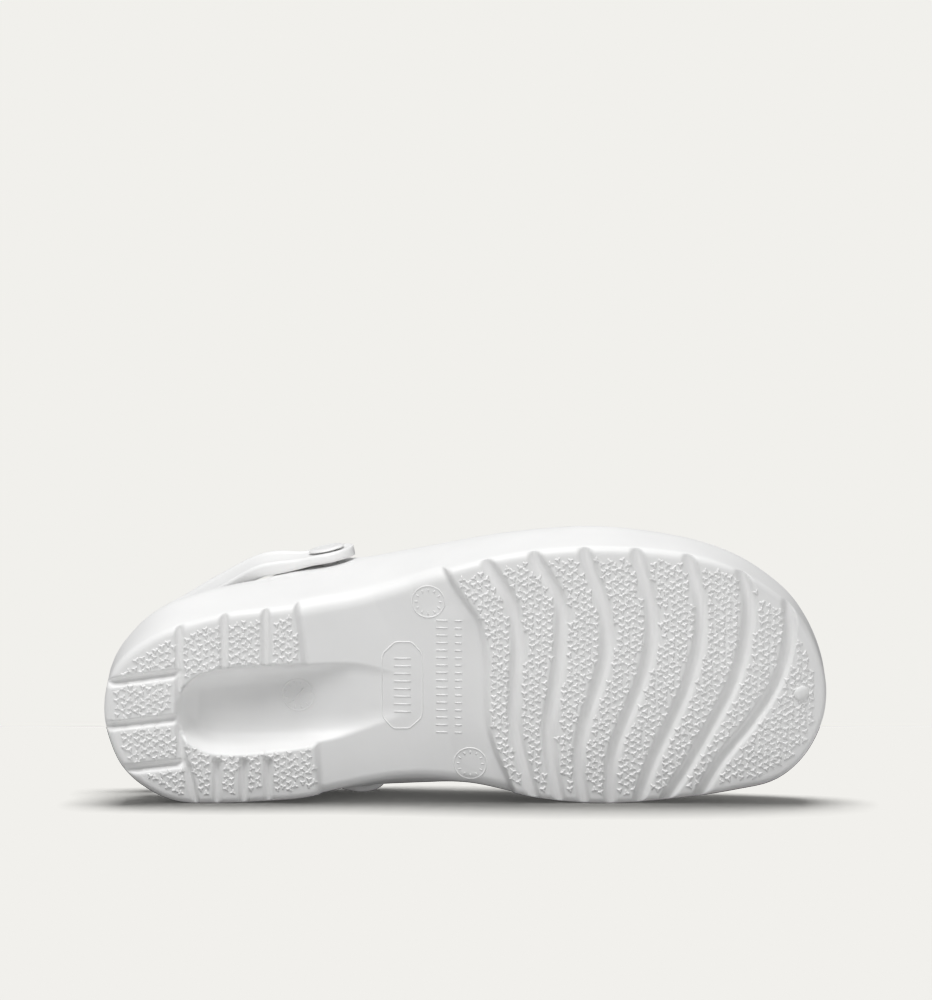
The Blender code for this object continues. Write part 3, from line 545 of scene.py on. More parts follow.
@dataclass
class Underside:
    """The grooves, the waist and the heel's hollow, as one height over the tread."""

    last: Last
    shell: Shell
    groove_width: float = 5 * MM
    groove_depth: float = 2.4 * MM
    groove_bottom: float = 0.13
    groove_bank: float = 0.48
    groove_reach: float = 4 * MM
    arch_height: float = 5.2 * MM
    arch_round: float = 6 * MM
    arch_blend: float = 1.5 * MM
    hollow_width: float = 33.6 * MM
    hollow_depth: float = 13.2 * MM
    blend: float = 5.0

    def __post_init__(self) -> None:
        """Smooths the grooves' paths and the waist's and hollow's tables."""
        scale = np.array([self.last.length, self.last.width])
        grooves = [(np.stack([row, GROOVE_ACROSS], axis=1), self.groove_width) for row in GROOVE_ROWS]
        grooves += [(np.array(groove.path), groove.width * MM) for groove in HEEL_GROOVES]
        self.paths = [(spline(corners * scale, 8, closed=False), width) for corners, width in grooves]
        self.waist = spline(np.array(WAIST_ROWS, float), 6, closed=False)
        self.hollow = spline(np.array(HOLLOW_ROWS, float), 6, closed=False)
        self.profile = spline(np.array(HOLLOW_PROFILE, float), 4, closed=False)
        half = len(self.shell.places) // 2
        wall = self.shell.side(np.full(len(self.shell.places), self.arch_height + self.arch_round))
        self.outer_wall, self.inner_wall = wall[: half + 1][::-1], wall[half:]

    def groove_lift(self, x: np.ndarray, y: np.ndarray, path: np.ndarray, width: float) -> np.ndarray:
        """How deep one groove is at these places, with soft edges and a soft bottom."""
        here = np.stack([x, y], axis=-1)[:, None]
        start, run = path[:-1], np.diff(path, axis=0)
        t = np.clip(np.einsum("psk,sk->ps", here - start, run) / (run**2).sum(axis=1), 0, 1)
        away = np.linalg.norm(here - start - run * t[..., None], axis=2).min(axis=1) / width
        return self.groove_depth * (1 - smooth_step((away - self.groove_bottom) / self.groove_bank))

    def waist_lift(self, x: np.ndarray, y: np.ndarray) -> np.ndarray:
        """How far the waist stands off the ground, with its long edges rounded up into the walls."""
        low = np.interp(x, self.outer_wall[:, 0], self.outer_wall[:, 1])
        high = np.interp(x, self.inner_wall[:, 0], self.inner_wall[:, 1])
        half = np.maximum(high - low, MM) / 2
        across = (y - (low + high) / 2) / half
        start = np.interp(across, self.waist[:, 0], self.waist[:, 1]) * self.last.length
        end = np.interp(across, self.waist[:, 0], self.waist[:, 2]) * self.last.length
        share = (x - start) / (end - start)
        level = np.interp(share, np.linspace(0, 1, len(ARCH_SHARES)), ARCH_SHARES) * self.arch_height
        edge = self.arch_round / half
        beyond = np.clip((abs(across) - 1 + edge) / edge, 0, 1)
        level = level + self.arch_round * (1 - np.sqrt(1 - beyond**2))
        after, before = (smooth_step(gap / self.arch_blend / 2 + 0.5) for gap in (x - start, end - x))
        return level * (after * before)

    def hollow_lift(self, x: np.ndarray, y: np.ndarray) -> np.ndarray:
        """How deep the heel's hollow is."""
        along = self.hollow[:, 0] * self.last.length
        middle = np.interp(x, along, self.hollow[:, 1]) * self.last.width
        half = np.interp(x, along, self.hollow[:, 2]) * self.hollow_width / 2
        depth = np.interp(x, along, np.maximum(self.hollow[:, 3], 0), left=0, right=0) * self.hollow_depth
        away, share = self.profile[:, 0], np.clip(self.profile[:, 1], 0, 1)
        return depth * np.interp(abs(y - middle) / half, away, share, right=0)

    def lift(self, x: np.ndarray, y: np.ndarray) -> np.ndarray:
        """How far the underside lies above the tread's own surface at these places."""
        total = self.waist_lift(x, y) ** self.blend + self.hollow_lift(x, y) ** self.blend
        for path, width in self.paths:
            low, high = path.min(axis=0) - self.groove_reach, path.max(axis=0) + self.groove_reach
            near = (x > low[0]) & (x < high[0]) & (y > low[1]) & (y < high[1])
            if near.any():
                total[near] += self.groove_lift(x[near], y[near], path, width) ** self.blend
        return total ** (1 / self.blend)

    def height(self, x: np.ndarray, y: np.ndarray) -> np.ndarray:
        """The underside's height at these places."""
        return self.last.tread_height(x) + self.lift(x, y)


@dataclass
class Moulding:
    """The clog's one moulded body: tread, walls, closed upper, collar and floor."""

    stance: Stance
    columns: int = 104
    floor_columns: int = 10
    lifted_below: float = 16 * MM

    def __post_init__(self) -> None:
        """Lays out the spokes so that the rows of the underside follow its grooves."""
        self.last = Last()
        outer, inner, self.bow = self.last.rows(self.columns)
        self.shell = Shell(self.last, np.concatenate([outer, inner[1:-1][::-1]]))
        self.under = Underside(self.last, self.shell)

    def cap(self, points: np.ndarray, faces: list, start: int, columns: int, height: Callable, flip: bool,
            bow: np.ndarray | None = None) -> np.ndarray:
        """Closes one ring of a stack with rows that run across it.

        Args:
            points: The stack's points so far.
            faces: The faces so far, added to.
            start: The ring's first point.
            columns: How many steps each row has.
            height: Gives the height at x and y.
            flip: Whether the faces turn the other way.
            bow: How far each row bows along the shoe at each column.

        Returns:
            The points with the rows' own added.
        """
        count = len(self.shell.places)
        half = count // 2
        ring = points[start : start + count]
        bow = np.zeros((half + 1, columns + 1)) if bow is None else bow
        lines = np.arange(1, half)
        shares = np.arange(1, columns) / columns
        left, right = ring[lines], ring[count - lines]
        x = left[:, :1] * (1 - shares) + right[:, :1] * shares + bow[1:-1, 1:-1]
        y = left[:, 1:2] * (1 - shares) + right[:, 1:2] * shares
        grid = np.full((half + 1, columns + 1), start)
        grid[1:-1, 0] = start + lines
        grid[1:-1, -1] = start + count - lines
        grid[half] = start + half
        grid[1:-1, 1:-1] = len(points) + np.arange(x.size).reshape(x.shape)
        quads = np.stack([grid[:-1, :-1], grid[:-1, 1:], grid[1:, 1:], grid[1:, :-1]], axis=-1).reshape(-1, 4)
        faces += [list(dict.fromkeys(quad)) for quad in (quads[:, ::-1] if flip else quads).tolist()]
        x, y = x.ravel(), y.ravel()
        return np.concatenate([points, np.stack([x, y, height(x, y)], axis=1)])

    def build(self) -> bpy.types.Object:
        """The moulding's mesh."""
        outer = self.shell.outer_rings()
        rings = outer + self.shell.lip_rings() + self.shell.inner_rings()
        count = len(rings[0])
        points = np.concatenate(rings)
        lifted = points[:, 2] < self.lifted_below
        lifted[len(outer) * count :] = False
        ground = self.under.height(points[lifted, 0], points[lifted, 1])
        points[lifted, 2] = np.maximum(points[lifted, 2], ground)
        faces = ring_faces(len(rings), count)[:, ::-1].tolist()
        points = self.cap(points, faces, 0, self.columns, self.under.height, True, self.bow)
        points = self.cap(points, faces, (len(rings) - 1) * count, self.floor_columns,
                          lambda x, y: self.last.floor_height(x), False)
        made = make_piece("clog_skin", points, faces, self.stance)
        face_out(made)
        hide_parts("clog_body")
        return made


@dataclass
class Pimples:
    """The tread's small raised three-lobed grips, spread over the flat tops of its lugs."""

    moulding: Moulding
    spacing: float = 2.8 * MM
    wander: float = 0.34 * MM
    margin: float = 0.5 * MM
    edge_margin: float = 1.0 * MM
    radius: float = 1.5 * MM
    height: float = 0.45 * MM
    flat_within: float = 0.35 * MM
    seed: int = 7
    outline: int = 15

    def places(self) -> np.ndarray:
        """The grips' places on the lugs, as x and y."""
        last, under = self.moulding.last, self.moulding.under
        rows = np.arange(0, last.length, self.spacing * math.sqrt(3) / 2)
        across = np.arange(-0.52 * last.width, 0.52 * last.width, self.spacing)
        x, y = np.meshgrid(rows, across, indexing="ij")
        y = y + (np.arange(len(rows)) % 2)[:, None] * self.spacing / 2
        chance = np.random.default_rng(self.seed)
        x = (x + chance.uniform(-self.wander, self.wander, x.shape)).ravel()
        y = (y + chance.uniform(-self.wander, self.wander, y.shape)).ravel()
        kept = self.inside(x, y)
        x, y = x[kept], y[kept]
        clear = np.ones(len(x), bool)
        for turn in circle(8):
            lift = under.lift(x + self.margin * math.cos(turn), y + self.margin * math.sin(turn))
            clear &= lift < self.flat_within
        return np.stack([x[clear], y[clear]], axis=1)

    def inside(self, x: np.ndarray, y: np.ndarray) -> np.ndarray:
        """Which places lie inside the tread's edge by the margin."""
        outline = self.moulding.last.samples[:-1, :2]
        ahead = np.roll(outline, -1, axis=0) - np.roll(outline, 1, axis=0)
        out = unit(np.stack([-ahead[:, 1], ahead[:, 0]], axis=1))
        away = np.stack([x, y], axis=1)[:, None] - outline
        nearest = np.argmin((away**2).sum(axis=2), axis=1)
        beyond = np.einsum("ij,ij->i", away[np.arange(len(x)), nearest], out[nearest])
        return beyond < -self.edge_margin

    def shape(self) -> bpy.types.Object:
        """One grip: three soft lobes under a low crown."""
        turns = circle(self.outline)
        lobes = self.radius * (0.62 + 0.38 * np.cos(3 * turns))
        levels = ((1.0, -0.15), (0.93, 0.45), (0.66, 0.88))
        points = [(lobe * share * math.cos(a), lobe * share * math.sin(a), self.height * up)
                  for share, up in levels for lobe, a in zip(lobes, turns)]
        last = len(points) - self.outline
        faces = ring_faces(len(levels), self.outline).tolist()
        faces += [(last + i, last + (i + 1) % self.outline, len(points)) for i in range(self.outline)]
        points.append((0, 0, self.height))
        mesh = bpy.data.meshes.new("grip_shape")
        mesh.from_pydata(points, [], faces)
        return bpy.data.objects.new("grip_shape", mesh)

    def spread_tree(self, shape: bpy.types.Object, finish: bpy.types.Material) -> bpy.types.NodeTree:
        """The node tree that sets a turned and slightly resized grip on each point.

        Args:
            shape: The grip.
            finish: The finish that the realised grips get.

        Returns:
            The tree, with its sizes as named inputs.
        """
        tree = bpy.data.node_groups.new("spread_grips", "GeometryNodeTree")
        face = tree.interface
        face.new_socket("Geometry", in_out="INPUT", socket_type="NodeSocketGeometry")
        for name, value in (("Smallest", 0.85), ("Largest", 1.1)):
            face.new_socket(name, in_out="INPUT", socket_type="NodeSocketFloat").default_value = value
        face.new_socket("Seed", in_out="INPUT", socket_type="NodeSocketInt").default_value = self.seed
        face.new_socket("Geometry", in_out="OUTPUT", socket_type="NodeSocketGeometry")
        add, link = tree.nodes.new, tree.links.new
        come, leave = add("NodeGroupInput"), add("NodeGroupOutput")
        source = add("GeometryNodeObjectInfo")
        source.inputs["Object"].default_value = shape
        turn = add("FunctionNodeRandomValue")
        turn.data_type = "FLOAT_VECTOR"
        turn.inputs[0].default_value = (0, 0, 0)
        turn.inputs[1].default_value = (0, 0, 2 * math.pi)
        grow = add("FunctionNodeRandomValue")
        grow.data_type = "FLOAT"
        link(come.outputs["Smallest"], grow.inputs[2])
        link(come.outputs["Largest"], grow.inputs[3])
        for node in (turn, grow):
            link(come.outputs["Seed"], node.inputs["Seed"])
        spread = add("GeometryNodeInstanceOnPoints")
        link(come.outputs["Geometry"], spread.inputs["Points"])
        link(source.outputs["Geometry"], spread.inputs["Instance"])
        link(turn.outputs[0], spread.inputs["Rotation"])
        link(grow.outputs[1], spread.inputs["Scale"])
        real, dress = add("GeometryNodeRealizeInstances"), add("GeometryNodeSetMaterial")
        dress.inputs["Material"].default_value = finish
        link(spread.outputs["Instances"], real.inputs["Geometry"])
        link(real.outputs["Geometry"], dress.inputs["Geometry"])
        link(dress.outputs["Geometry"], leave.inputs["Geometry"])
        return tree

    def build(self, finish: bpy.types.Material) -> bpy.types.Object:
        """All the grips as one mesh that follows the tread."""
        places = self.places()
        cloud = bpy.data.meshes.new("grip_places")
        cloud.from_pydata([(x, y, 0) for x, y in places.tolist()], [], [])
        holder = add_object("grip_places", cloud)
        shape = self.shape()
        modifier = holder.modifiers.new("Grips", "NODES")
        modifier.node_group = self.spread_tree(shape, finish)
        names = {s.name: s.identifier for s in modifier.node_group.interface.items_tree if s.in_out == "INPUT"}
        modifier[names["Seed"]] = self.seed
        bpy.context.view_layer.update()
        graph = bpy.context.evaluated_depsgraph_get()
        mesh = bpy.data.meshes.new_from_object(holder.evaluated_get(graph))
        holder.modifiers.remove(modifier)
        for item in (holder, shape):
            bpy.data.objects.remove(item, do_unlink=True)
        points = corner_points(mesh)
        points[:, 2] = self.moulding.under.height(points[:, 0], points[:, 1]) - points[:, 2]
        mesh.vertices.foreach_set("co", self.moulding.stance.place(points).ravel())
        mesh.flip_normals()
        mesh.shade_smooth()
        mesh.name = "tread_grips"
        return add_object("tread_grips", mesh)


@dataclass
class MouldMarks:
    """Plain raised marks left by the mould: rings with ticks, a frame, a ladder of ticks and a dome."""

    moulding: Moulding
    line_width: float = 0.62 * MM
    line_height: float = 0.22 * MM
    ring_radius: float = 6.2 * MM
    rings: tuple = ((123.2, -28.3), (139.2, 35.2))
    dial: tuple[float, float] = (73.5, 9.6)
    frame_middle: tuple[float, float] = (113.3, 4.6)
    frame_size: tuple[float, float] = (15.5, 34.0)
    ladders: tuple = ((128.3, 2.2), (134.6, 1.3))
    dome: tuple[float, float] = (265.3, 7.9)
    dome_radius: float = 3.1 * MM
    dome_height: float = 1.3 * MM

    def line(self, path: np.ndarray, closed: bool, points: list, faces: list) -> None:
        """Adds a raised line with a round top along a plan path.

        Args:
            path: The line's plan points in metres.
            closed: Whether it comes back to its start.
            points: The points so far, added to.
            faces: The faces so far, added to.
        """
        run = np.roll(path, -1, axis=0) - np.roll(path, 1, axis=0) if closed else np.gradient(path, axis=0)
        side = unit(np.stack([-run[:, 1], run[:, 0]], axis=1))
        section = ((-0.5, -0.25), (-0.36, 0.62), (0.0, 1.0), (0.36, 0.62), (0.5, -0.25))
        start = sum(len(block) for block in points)
        ground = self.moulding.under.height(path[:, 0], path[:, 1])
        rows = [np.column_stack([path + side * across * self.line_width, ground - up * self.line_height])
                for across, up in section]
        points.append(np.stack(rows, axis=1).reshape(-1, 3))
        count, wide = len(path), len(section)
        for i in range(count if closed else count - 1):
            a, b = start + i * wide, start + (i + 1) % count * wide
            faces += [(a + k, a + k + 1, b + k + 1, b + k) for k in range(wide - 1)]
        if not closed:
            faces += [tuple(start + k for k in range(wide))[::-1],
                      tuple(start + (count - 1) * wide + k for k in range(wide))]

    def round_path(self, middle: tuple[float, float], radius: float, count: int = 48) -> np.ndarray:
        """A circle in plan, its middle in millimetres."""
        turns = circle(count)
        return np.array(middle) * MM + radius * np.stack([np.cos(turns), np.sin(turns)], axis=1)

    def tick(self, middle: tuple[float, float], turn: float, start: float, end: float) -> np.ndarray:
        """A short straight line out from a middle in millimetres, between two radii."""
        radii = np.linspace(start, end, 4)[:, None]
        return np.array(middle) * MM + radii * np.array([math.cos(turn), math.sin(turn)])

    def frame_path(self) -> np.ndarray:
        """The plain frame with its cut corners rounded."""
        half_x, half_y = self.frame_size[0] / 2, self.frame_size[1] / 2
        corners = [(-half_x, -half_y * 0.72), (-half_x * 0.35, -half_y), (half_x * 0.45, -half_y),
                   (half_x, -half_y * 0.72)]
        corners += [(-x, -y) for x, y in corners]
        loop = np.array(corners) + np.array(self.frame_middle)
        steps = np.linspace(0, 1, 7)[:-1, None]
        ends = np.roll(loop, -1, axis=0)
        fine = np.concatenate([start + (end - start) * steps for start, end in zip(loop, ends)])
        return (np.roll(fine, 1, axis=0) + fine * 2 + np.roll(fine, -1, axis=0)) / 4 * MM

    def build(self) -> bpy.types.Object:
        """All the raised marks as one mesh."""
        points, faces = [], []
        rings = [(middle, 0.0, 4.1 * MM, 5.1 * MM) for middle in self.rings]
        for middle, first, low, high in [*rings, (self.dial, 0.26, 4.2 * MM, 5.3 * MM)]:
            self.line(self.round_path(middle, self.ring_radius), True, points, faces)
            for turn in circle(12) + first:
                self.line(self.tick(middle, turn, low, high), False, points, faces)
        self.line(self.tick(self.dial, -0.95, -3.3 * MM, 3.3 * MM), False, points, faces)
        self.line(self.frame_path(), True, points, faces)
        for across in np.linspace(-10.5, 10.5, 8):
            spot = (self.frame_middle[0], self.frame_middle[1] + across)
            self.line(self.tick(spot, 0, -3.2 * MM, 3.2 * MM), False, points, faces)
        for along, reach in self.ladders:
            for across in np.linspace(-21, 23, 16):
                self.line(self.tick((along, across), 0, -reach * MM, reach * MM), False, points, faces)
        self.add_dome(points, faces)
        return make_piece("mould_marks", np.concatenate(points), faces, self.moulding.stance)

    def add_dome(self, points: list, faces: list) -> None:
        """Adds the low dome near the toe."""
        start = sum(len(block) for block in points)
        count, rows = 28, 6
        block = []
        for rise in np.linspace(0, math.pi / 2, rows)[:-1]:
            plan = self.round_path(self.dome, self.dome_radius * math.cos(rise), count)
            up = self.dome_height * (math.sin(rise) - 0.06)
            block.append(np.column_stack([plan, self.moulding.last.tread_height(plan[:, 0]) - up]))
        top = np.array(self.dome) * MM
        height = self.moulding.last.tread_height(top[:1])[0] - self.dome_height * 0.94
        points.append(np.vstack([*block, [[top[0], top[1], height]]]))
        faces += ring_faces(rows - 1, count, start)[:, ::-1].tolist()
        last = start + (rows - 2) * count
        faces += [(last + (i + 1) % count, last + i, start + (rows - 1) * count) for i in range(count)]


@dataclass
class HeelStrap:
    """The swivel strap behind the heel and the two buttons it turns on."""

    moulding: Moulding
    width: float = 17 * MM
    thickness: float = 3.8 * MM
    end_radius: float = 10.5 * MM
    lobe: float = 1.3
    pivot_height: float = 60 * MM
    stand_off: float = 1.7 * MM
    clearance: float = 0.3 * MM
    edge: float = 1.3 * MM
    sections: int = 220
    search_start: int = 4
    search_step: int = 6
    search_rows: int = 33
    tilt: float = 6.5
    swell: float = 1.4 * MM
    tilt_span: tuple[float, float] = (16 * MM, 75 * MM)
    border: float = 2.6 * MM
    sink: float = 0.45 * MM
    head_height: float = 1.1 * MM

    def pivot(self, side: Side) -> tuple[np.ndarray, np.ndarray]:
        """The wall's point under a button and the way that the wall faces there."""
        shell = self.moulding.shell
        half = len(shell.places) // 2
        first, last = (0, half) if side is Side.LATERAL else (half, None)
        chosen = slice(first + self.search_start, last, self.search_step)
        grid = np.stack([shell.arch(t)[chosen] for t in np.linspace(0, 1, self.search_rows)], axis=1)
        x = PIVOT_ALONG[side.value] * self.moulding.last.length
        away = (grid[:, :, 0] - x) ** 2 + (grid[:, :, 2] - self.pivot_height) ** 2
        i, k = np.unravel_index(np.argmin(away), away.shape)
        i, k = min(max(i, 1), grid.shape[0] - 2), min(max(k, 1), grid.shape[1] - 2)
        normal = unit(np.cross(grid[i + 1, k] - grid[i - 1, k], grid[i, k + 1] - grid[i, k - 1]))
        if normal[1] * (-1 if side is Side.LATERAL else 1) < 0:
            normal = -normal
        near = grid[i, k]
        y = near[1] - (normal[0] * (x - near[0]) + normal[2] * (self.pivot_height - near[2])) / normal[1]
        return np.array([x, y, self.pivot_height]), normal

    def half_width(self, distance: np.ndarray) -> np.ndarray:
        """Half the strap's width at this distance from its tip: a round end, then the band."""
        radius = self.end_radius
        round_end = np.sqrt(np.maximum(radius**2 - (radius - np.minimum(distance, radius)) ** 2, 0))
        ease = smooth_step((distance - radius) / (self.lobe * radius))
        return np.where(distance < radius, round_end, radius + (self.width / 2 - radius) * ease)

    def tilt_share(self, place: float) -> float:
        """How much of the tilt the band has at this distance from its outer end."""
        start, end = self.tilt_span
        return smooth_step((place - start) / start) * (1 - smooth_step((place - end) / start / 1.5))

    def middle_line(self, pivots: dict) -> np.ndarray:
        """The strap's middle line from one end to the other."""
        last = self.moulding.last
        free = [(r.along * last.length, r.across * last.width, r.up * self.pivot_height) for r in STRAP_ROWS]
        straight = {}
        for side, nearest in ((Side.LATERAL, free[0]), (Side.MEDIAL, free[-1])):
            point, normal = pivots[side]
            centre = point + normal * (self.stand_off + self.thickness / 2)
            away = centre - np.array(nearest)
            away = unit(away - normal * away.dot(normal)) * self.end_radius
            straight[side] = [centre + away * share for share in (1, 0.5, 0, -0.5, -1)]
        return spline(np.array([*straight[Side.LATERAL], *free, *reversed(straight[Side.MEDIAL])]), 16, False)

    def band(self, pivots: dict) -> bpy.types.Object:
        """The strap, with soft edges and a raised border on its outer face."""
        path = self.middle_line(pivots)
        length = arc_lengths(path, 3)
        total = length[-1]
        tips = self.end_radius * (1 - np.cos(np.linspace(0.06, 1, 14) * math.pi / 2))
        between = np.linspace(tips[-1], total - tips[-1], self.sections)[1:-1]
        places = np.concatenate([tips, between, (total - tips)[::-1]])
        middle = read_at(places, length, path)
        tangent = unit(read_at(places, length, np.gradient(path, length, axis=0)))
        level = unit(np.cross(tangent, (0, 0, 1)))
        rings = []
        flat = pivots[Side.LATERAL][1]
        for i, place in enumerate(places):
            normal = pivots[Side.LATERAL if place < total / 2 else Side.MEDIAL][1]
            flat = level[i] if level[i].dot(flat) > 0 else -level[i]
            end = min(place, total - place)
            near = min(max(end / self.end_radius - 2, 0) / 4, 1)
            thick = normal * (1 - near) + flat * near
            thick = unit(thick - tangent[i] * thick.dot(tangent[i]))
            wide = np.cross(thick, tangent[i])
            wide = -wide if wide[2] < 0 else wide
            share = float(self.tilt_share(place))
            turn = math.radians(self.tilt) * share
            thick, wide = (thick * math.cos(turn) - wide * math.sin(turn),
                           wide * math.cos(turn) + thick * math.sin(turn))
            half = float(self.half_width(np.array(end)))
            rings.append([middle[i] + wide * a + thick * b for a, b in self.profile(half, self.swell * share)])
        count = len(rings[0])
        points = np.array(rings).reshape(-1, 3)
        faces = ring_faces(len(rings), count).tolist()
        faces += [list(range(count))[::-1], [len(points) - count + k for k in range(count)]]
        made = make_piece("strap_band", points, faces, self.moulding.stance)
        face_out(made)
        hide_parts("heel_strap")
        return made

    def profile(self, half: float, swell: float) -> list[tuple[float, float]]:
        """The band's section: rounded edges, and a shallow panel inside a border on the outer face.

        Args:
            half: Half the band's width.
            swell: How much thicker it is towards the shoe.

        Returns:
            Points as width and thickness, once round.
        """
        deep = self.thickness / 2
        soft = min(self.edge, half * 0.5)
        corner = [(half - soft + soft * math.sin(a), deep - soft + soft * math.cos(a))
                  for a in np.linspace(0, math.pi / 2, 5)]
        border = max(half - self.border, half * 0.3)
        sink = self.sink * min(1.0, half / (4 * MM))
        face = [(border * 0.5, deep - sink), (border - 0.5 * MM if border > MM else border * 0.6, deep - sink),
                (border, deep - sink * 0.3), (min(border + 0.5 * MM, half - soft), deep)]
        side = [(0.0, deep - sink), *face, *corner]
        back = [(a, -b - swell) for a, b in reversed(corner)] + [(half * 0.4, -deep - swell)]
        right = side + back
        left = [(-a, b) for a, b in reversed(right[1:])]
        return right + [(0.0, -deep - swell)] + left

    def button(self, side: Side, pivots: dict) -> bpy.types.Object:
        """One button, turned about the pivot's axis, with a soft rim and a plain sunk ring on its head."""
        point, normal = pivots[side]
        seat = self.stand_off + self.thickness + self.clearance
        node = f"strap_button_{side.value}"
        inner = -self.inner_reach(node, point, normal)
        profile = [(r * MM, seat + self.head_height * up) for r, up in BUTTON_HEAD]
        profile += [(r * MM, inner + up * MM) for r, up in BUTTON_FOOT]
        axis = unit(np.cross(normal, (1, 0, 0)))
        other = np.cross(normal, axis)
        count = 48
        turns = circle(count)
        spokes = np.outer(np.cos(turns), axis) + np.outer(np.sin(turns), other)
        rings = [point + normal * z + spokes * r for r, z in profile[1:-1]]
        points = np.vstack([*rings, [point + normal * profile[0][1]], [point + normal * profile[-1][1]]])
        faces = ring_faces(len(rings), count).tolist()
        top, base = len(points) - 2, len(points) - 1
        low = (len(rings) - 1) * count
        faces += [(top, (i + 1) % count, i) for i in range(count)]
        faces += [(base, low + i, low + (i + 1) % count) for i in range(count)]
        made = make_piece(f"button_{side.value}", points, faces, self.moulding.stance)
        face_out(made)
        made.data.set_sharp_from_angle(angle=math.radians(50))
        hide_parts(node)
        return made

    def inner_reach(self, node: str, point: np.ndarray, normal: np.ndarray) -> float:
        """How far in from the wall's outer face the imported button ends."""
        stance = self.moulding.stance
        mesh = frame["nodes"][node].data
        away = corner_points(mesh) - stance.place(point[None])[0]
        return float(-(away @ (stance.turn @ normal)).min())


@dataclass
class Insole:
    """The loose foam insole on the moulded floor."""

    moulding: Moulding
    thickness: float = 3.5 * MM
    inset: float = 0.8 * MM
    edge: float = 1.0 * MM
    clearance: float = 0.3 * MM
    columns: int = 20

    def build(self) -> bpy.types.Object:
        """The insole with a rounded top edge and a slightly cupped top."""
        shell, last = self.moulding.shell, self.moulding.last
        inset = shell.side_wall + self.inset
        top = self.clearance + self.thickness
        turns = np.linspace(0, math.pi / 2, 5)
        levels = [(self.clearance, 0.0), (self.clearance + 0.9 * MM, 0.0)]
        levels += [(top - self.edge + self.edge * math.sin(a), self.edge * (1 - math.cos(a))) for a in turns]
        rings = []
        for lift, depth in levels:
            ring = shell.floor_edge(inset + depth)
            ring[:, 2] += lift
            rings.append(ring)
        count = len(rings[0])
        points = np.concatenate(rings)
        faces = ring_faces(len(rings), count)[:, ::-1].tolist()
        for ring, lift, flip in ((0, self.clearance, True), (len(rings) - 1, top, False)):
            points = self.moulding.cap(points, faces, ring * count, self.columns,
                                       lambda x, y, lift=lift: last.floor_height(x) + lift, flip)
        made = make_piece("insole_pad", points, faces, self.moulding.stance)
        face_out(made)
        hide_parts("insole")
        return made


def grain_group() -> bpy.types.NodeTree:
    """The shared effect of moulded foam: a fine skin grain, and a slow drift in tone and gloss."""
    tree = bpy.data.node_groups.new("foam_grain", "ShaderNodeTree")
    face = tree.interface
    sizes = {"Grain size": 0.5 * MM, "Cloud size": 24 * MM, "Rough low": 0.4, "Rough high": 0.5}
    for name, value in sizes.items():
        face.new_socket(name, in_out="INPUT", socket_type="NodeSocketFloat").default_value = value
    for name in ("Cloud", "Roughness", "Height"):
        face.new_socket(name, in_out="OUTPUT", socket_type="NodeSocketFloat")
    add, link = tree.nodes.new, tree.links.new
    come, leave = add("NodeGroupInput"), add("NodeGroupOutput")
    where = add("ShaderNodeTexCoord")
    fine, cloud = add("ShaderNodeTexNoise"), add("ShaderNodeTexNoise")
    for node, name, detail in ((fine, "Grain size", 3.0), (cloud, "Cloud size", 4.0)):
        scale = add("ShaderNodeMath")
        scale.operation = "DIVIDE"
        scale.inputs[0].default_value = 1.0
        link(come.outputs[name], scale.inputs[1])
        link(where.outputs["Object"], node.inputs["Vector"])
        link(scale.outputs[0], node.inputs["Scale"])
        node.inputs["Detail"].default_value = detail
    rough = add("ShaderNodeMapRange")
    link(cloud.outputs["Fac"], rough.inputs["Value"])
    rough.inputs["From Min"].default_value = 0.3
    rough.inputs["From Max"].default_value = 0.7
    link(come.outputs["Rough low"], rough.inputs["To Min"])
    link(come.outputs["Rough high"], rough.inputs["To Max"])
    link(cloud.outputs["Fac"], leave.inputs["Cloud"])
    link(rough.outputs["Result"], leave.inputs["Roughness"])
    link(fine.outputs["Fac"], leave.inputs["Height"])
    return tree


@dataclass(frozen=True)
class FoamFinish:
    """A moulded foam finish."""

    name: str
    light: tuple[float, float, float]
    dark: tuple[float, float, float]
    rough: tuple[float, float]
    grain: float
    bump: float
    specular: float = 0.4

    def material(self, group: bpy.types.NodeTree) -> bpy.types.Material:
        """The finish as a material that uses the shared grain."""
        made = bpy.data.materials.new(self.name)
        made.use_nodes = True
        nodes, link = made.node_tree.nodes, made.node_tree.links.new
        shader = nodes["Principled BSDF"]
        grain = nodes.new("ShaderNodeGroup")
        grain.node_tree = group
        for name, value in zip(("Grain size", "Rough low", "Rough high"), (self.grain, *self.rough)):
            grain.inputs[name].default_value = value
        colour = nodes.new("ShaderNodeMix")
        colour.data_type = "RGBA"
        colour.inputs["A"].default_value = (*self.dark, 1)
        colour.inputs["B"].default_value = (*self.light, 1)
        link(grain.outputs["Cloud"], colour.inputs["Factor"])
        link(colour.outputs["Result"], shader.inputs["Base Color"])
        link(grain.outputs["Roughness"], shader.inputs["Roughness"])
        bump = nodes.new("ShaderNodeBump")
        bump.inputs["Strength"].default_value = 1.0
        bump.inputs["Distance"].default_value = self.bump
        link(grain.outputs["Height"], bump.inputs["Height"])
        link(bump.outputs["Normal"], shader.inputs["Normal"])
        shader.inputs["Specular IOR Level"].default_value = self.specular
        return made


